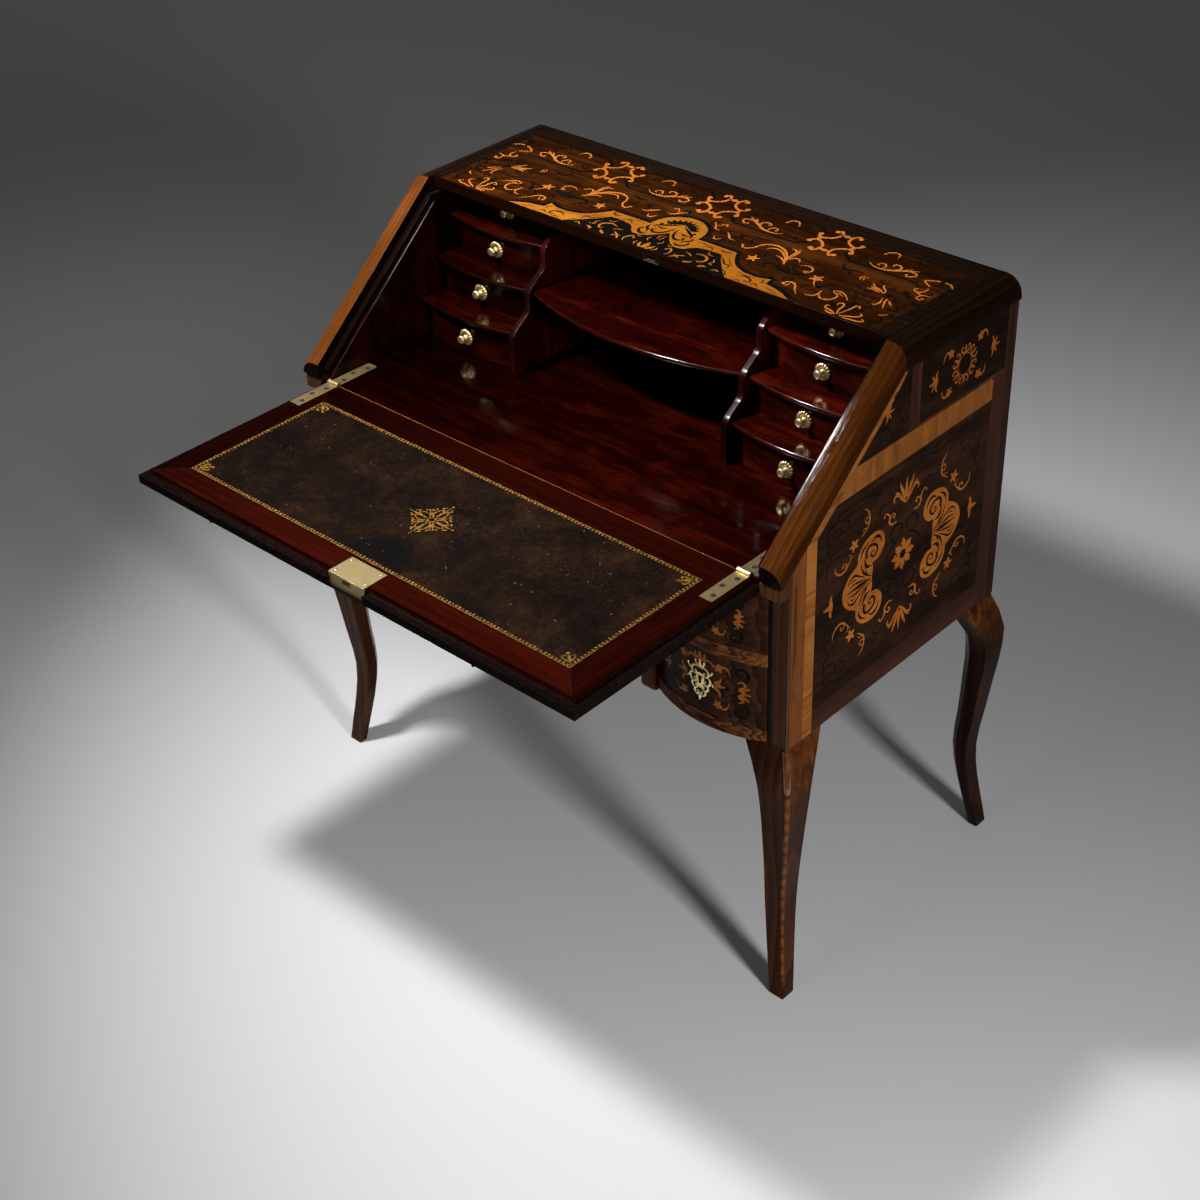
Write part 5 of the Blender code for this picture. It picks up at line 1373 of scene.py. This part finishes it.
def leg_corner(sign, tag):
    """Pairs of points on both edges of a front leg's outer arris, from the floor up."""
    levels = {}
    for vertex in NODES["leg_front_" + tag].data.vertices:
        levels.setdefault(round(vertex.co.z, 4), {})[(round(vertex.co.x, 5), round(vertex.co.y, 5))] = None
    made = []
    for z in sorted(levels):
        best = sorted(levels[z], key=lambda p: sign * p[0] - p[1], reverse=True)[:2]
        if len(best) == 2:
            best.sort(key=lambda p: p[1])
            made.append((z, best[0], best[1]))
    return made


def strip(name, rows, finish, smooth=False):
    """A strip on the case between rows of points."""
    points = [point for row in rows for point in row]
    add_piece(name, "case", points, grid(len(rows), len(rows[0])), finish, smooth=smooth)


KNEE_LOW = 0.396
KNEE_HIGH = 0.4575
BEAD = 0.0052
CORNER_SHEEN = ((0.0012, -0.0003), (0.0015, -0.0002), (0.0025, 0.0012), (0.0028, 0.0016))
POST_HEAD = 717.2


def dress_corner(sign, tag):
    """Banding up a front leg, the bead on its knee, and the veneer of the post above it, with a grey strip on the
    corner arris for its worn edge and painted highlight, and a black strip of painted shadow in the gap beside the
    drawers.
    """
    corner = leg_corner(sign, tag)
    rows = []
    for z, front, side in corner:
        if 0.02 < z < 0.40:
            wide = 0.0016 + 0.0012 * (z / 0.4)
            row = [(front[0] - sign * wide, front[1] - 0.0002, z), (front[0] + sign * 0.0001, front[1] - 0.0002, z),
                   (side[0] + sign * 0.0002, side[1] - 0.0001, z), (side[0] + sign * 0.0002, side[1] + wide, z)]
            rows.append([Vector(point) for point in (row if sign < 0 else reversed(row))])
    strip("leg_banding_" + tag, rows, banding)
    knee = [(z, (Vector(front) + Vector(side)) / 2) for z, front, side in corner if z > 0.385]
    rows = []
    steps = 16
    for step in range(steps + 1):
        share = step / steps
        z = KNEE_LOW + (KNEE_HIGH - KNEE_LOW) * share
        k = min(max(i for i in range(len(knee)) if knee[i][0] <= z or i == 0), len(knee) - 2)
        part = (z - knee[k][0]) / (knee[k + 1][0] - knee[k][0])
        at = knee[k][1].lerp(knee[k + 1][1], part)
        radius = BEAD * math.sqrt(max(1 - (1 - min(share / 0.22, 1)) ** 2, 0.0)) + 0.0002
        row = []
        for i in range(13):
            angle = math.radians(-105 + 210 * i / 12)
            cos, sin = math.cos(angle), math.sin(angle)
            out = Vector((sign * cos + sin, sign * sin - cos)) / math.sqrt(2)
            spot = at + out * radius + Vector((-sign, 1)) * 0.0014
            row.append(Vector((spot.x, spot.y, z)))
        rows.append(row)
    strip("knee_bead_" + tag, rows, leg_gloss, True)
    rows = []
    # A grey strip round the post's corner arris: the worn edge with a painted highlight on it.
    for z in (0.4592, 0.55, 0.64, 0.7172):
        rows.append([Vector((sign * (0.4680 + x), y + SHIFT, z)) for x, y in CORNER_SHEEN])
    strip("corner_string_" + tag, rows, worn_edge_sheen)
    panel = Panel("post_" + tag, "case", lambda u, v, rise: Vector((sign * u * MM, SHIFT - rise, v * MM)))
    panel.lay("front", post_walnut, oblong(443.2, CASE_FOOT, 467.4, POST_HEAD), 0.05)
    # Painted shadow: a black strip on the case front where the gap between the drawers and the post lies in deep
    # shade.
    panel.lay("string", ebony, oblong(437.0, CASE_FOOT, 442.8, POST_HEAD), 0.05)


pulls()
fixings()
for side_sign, side_tag in SIDES:
    dress_drawer("lower_drawer_" + side_tag, bowed(side_sign), (336.5, 533.5), 1.0)
    dress_drawer("upper_drawer_" + side_tag, bowed(side_sign), (336.5, 655.5), 0.88)
    dress_corner(side_sign, side_tag)
dress_drawer("centre_drawer", flat_front, (0, 655.5), 0.88)
dress_leather()
dress_fall_outside()


# Studio.


def studio():
    bpy.ops.mesh.primitive_plane_add(size=1)
    floor = bpy.context.object
    floor.name = "studio_floor"
    floor.scale = (60, 60, 1)
    floor.data.materials.append(floor_paint())
    world = bpy.data.worlds.new("studio")
    bpy.context.scene.world = world
    world.use_nodes = True
    glow = world.node_tree.nodes["Background"]
    glow.inputs["Color"].default_value = (0.86, 0.84, 0.81, 1)
    glow.inputs["Strength"].default_value = 0.11
    lamps = (
        ("key_lamp", (-0.554, -0.519 + SHIFT, 2.15), (0.24, 0.55 + SHIFT, 0.0), 0.20, 0.20, 20, 80),
        ("right_softbox", (3.33, -0.785 + SHIFT, 1.80), (0.70, -1.05 + SHIFT, 0.0), 0.50, 0.60, 58, 100),
        ("left_fill", (-2.0, 0.5, 2.2), (-1.9, 0.4, 0.0), 0.8, 0.8, 0.9, 70),
        ("front_softbox", (-0.3, -3.2, 2.2), (0.0, -0.1, 0.5), 1.2, 0.8, 3, 100),
    )
    for name, at, towards, width, height, power, spread in lamps:
        lamp = bpy.data.lights.new(name, "AREA")
        lamp.shape = "RECTANGLE"
        lamp.size = width
        lamp.size_y = height
        lamp.energy = power
        lamp.spread = math.radians(spread)
        holder = bpy.data.objects.new(name, lamp)
        holder.location = at
        holder.rotation_euler = (Vector(towards) - Vector(at)).to_track_quat("-Z", "Y").to_euler()
        bpy.context.scene.collection.objects.link(holder)
    bpy.context.scene.view_settings.view_transform = "Standard"


def camera():
    """Camera of the photograph: placed by its bearing, height and roll."""
    bearing = math.radians(43.9956)
    rise = math.radians(34.6718)
    roll = math.radians(-2.3762)
    back = Vector((math.sin(bearing) * math.cos(rise), -math.cos(bearing) * math.cos(rise), math.sin(rise)))
    right = Vector((math.cos(bearing), math.sin(bearing), 0))
    up = back.cross(right)
    across = right * math.cos(roll) + up * math.sin(roll)
    above = up * math.cos(roll) - right * math.sin(roll)
    eye = bpy.data.cameras.new("camera")
    eye.sensor_width = 36
    eye.lens = 59.58
    holder = bpy.data.objects.new("camera", eye)
    bpy.context.scene.collection.objects.link(holder)
    turn = Matrix((across, above, back)).transposed().to_4x4()
    holder.matrix_world = Matrix.Translation((1.77037, -1.70333 + SHIFT, 2.19829)) @ turn
    bpy.context.scene.camera = holder


studio()
camera()
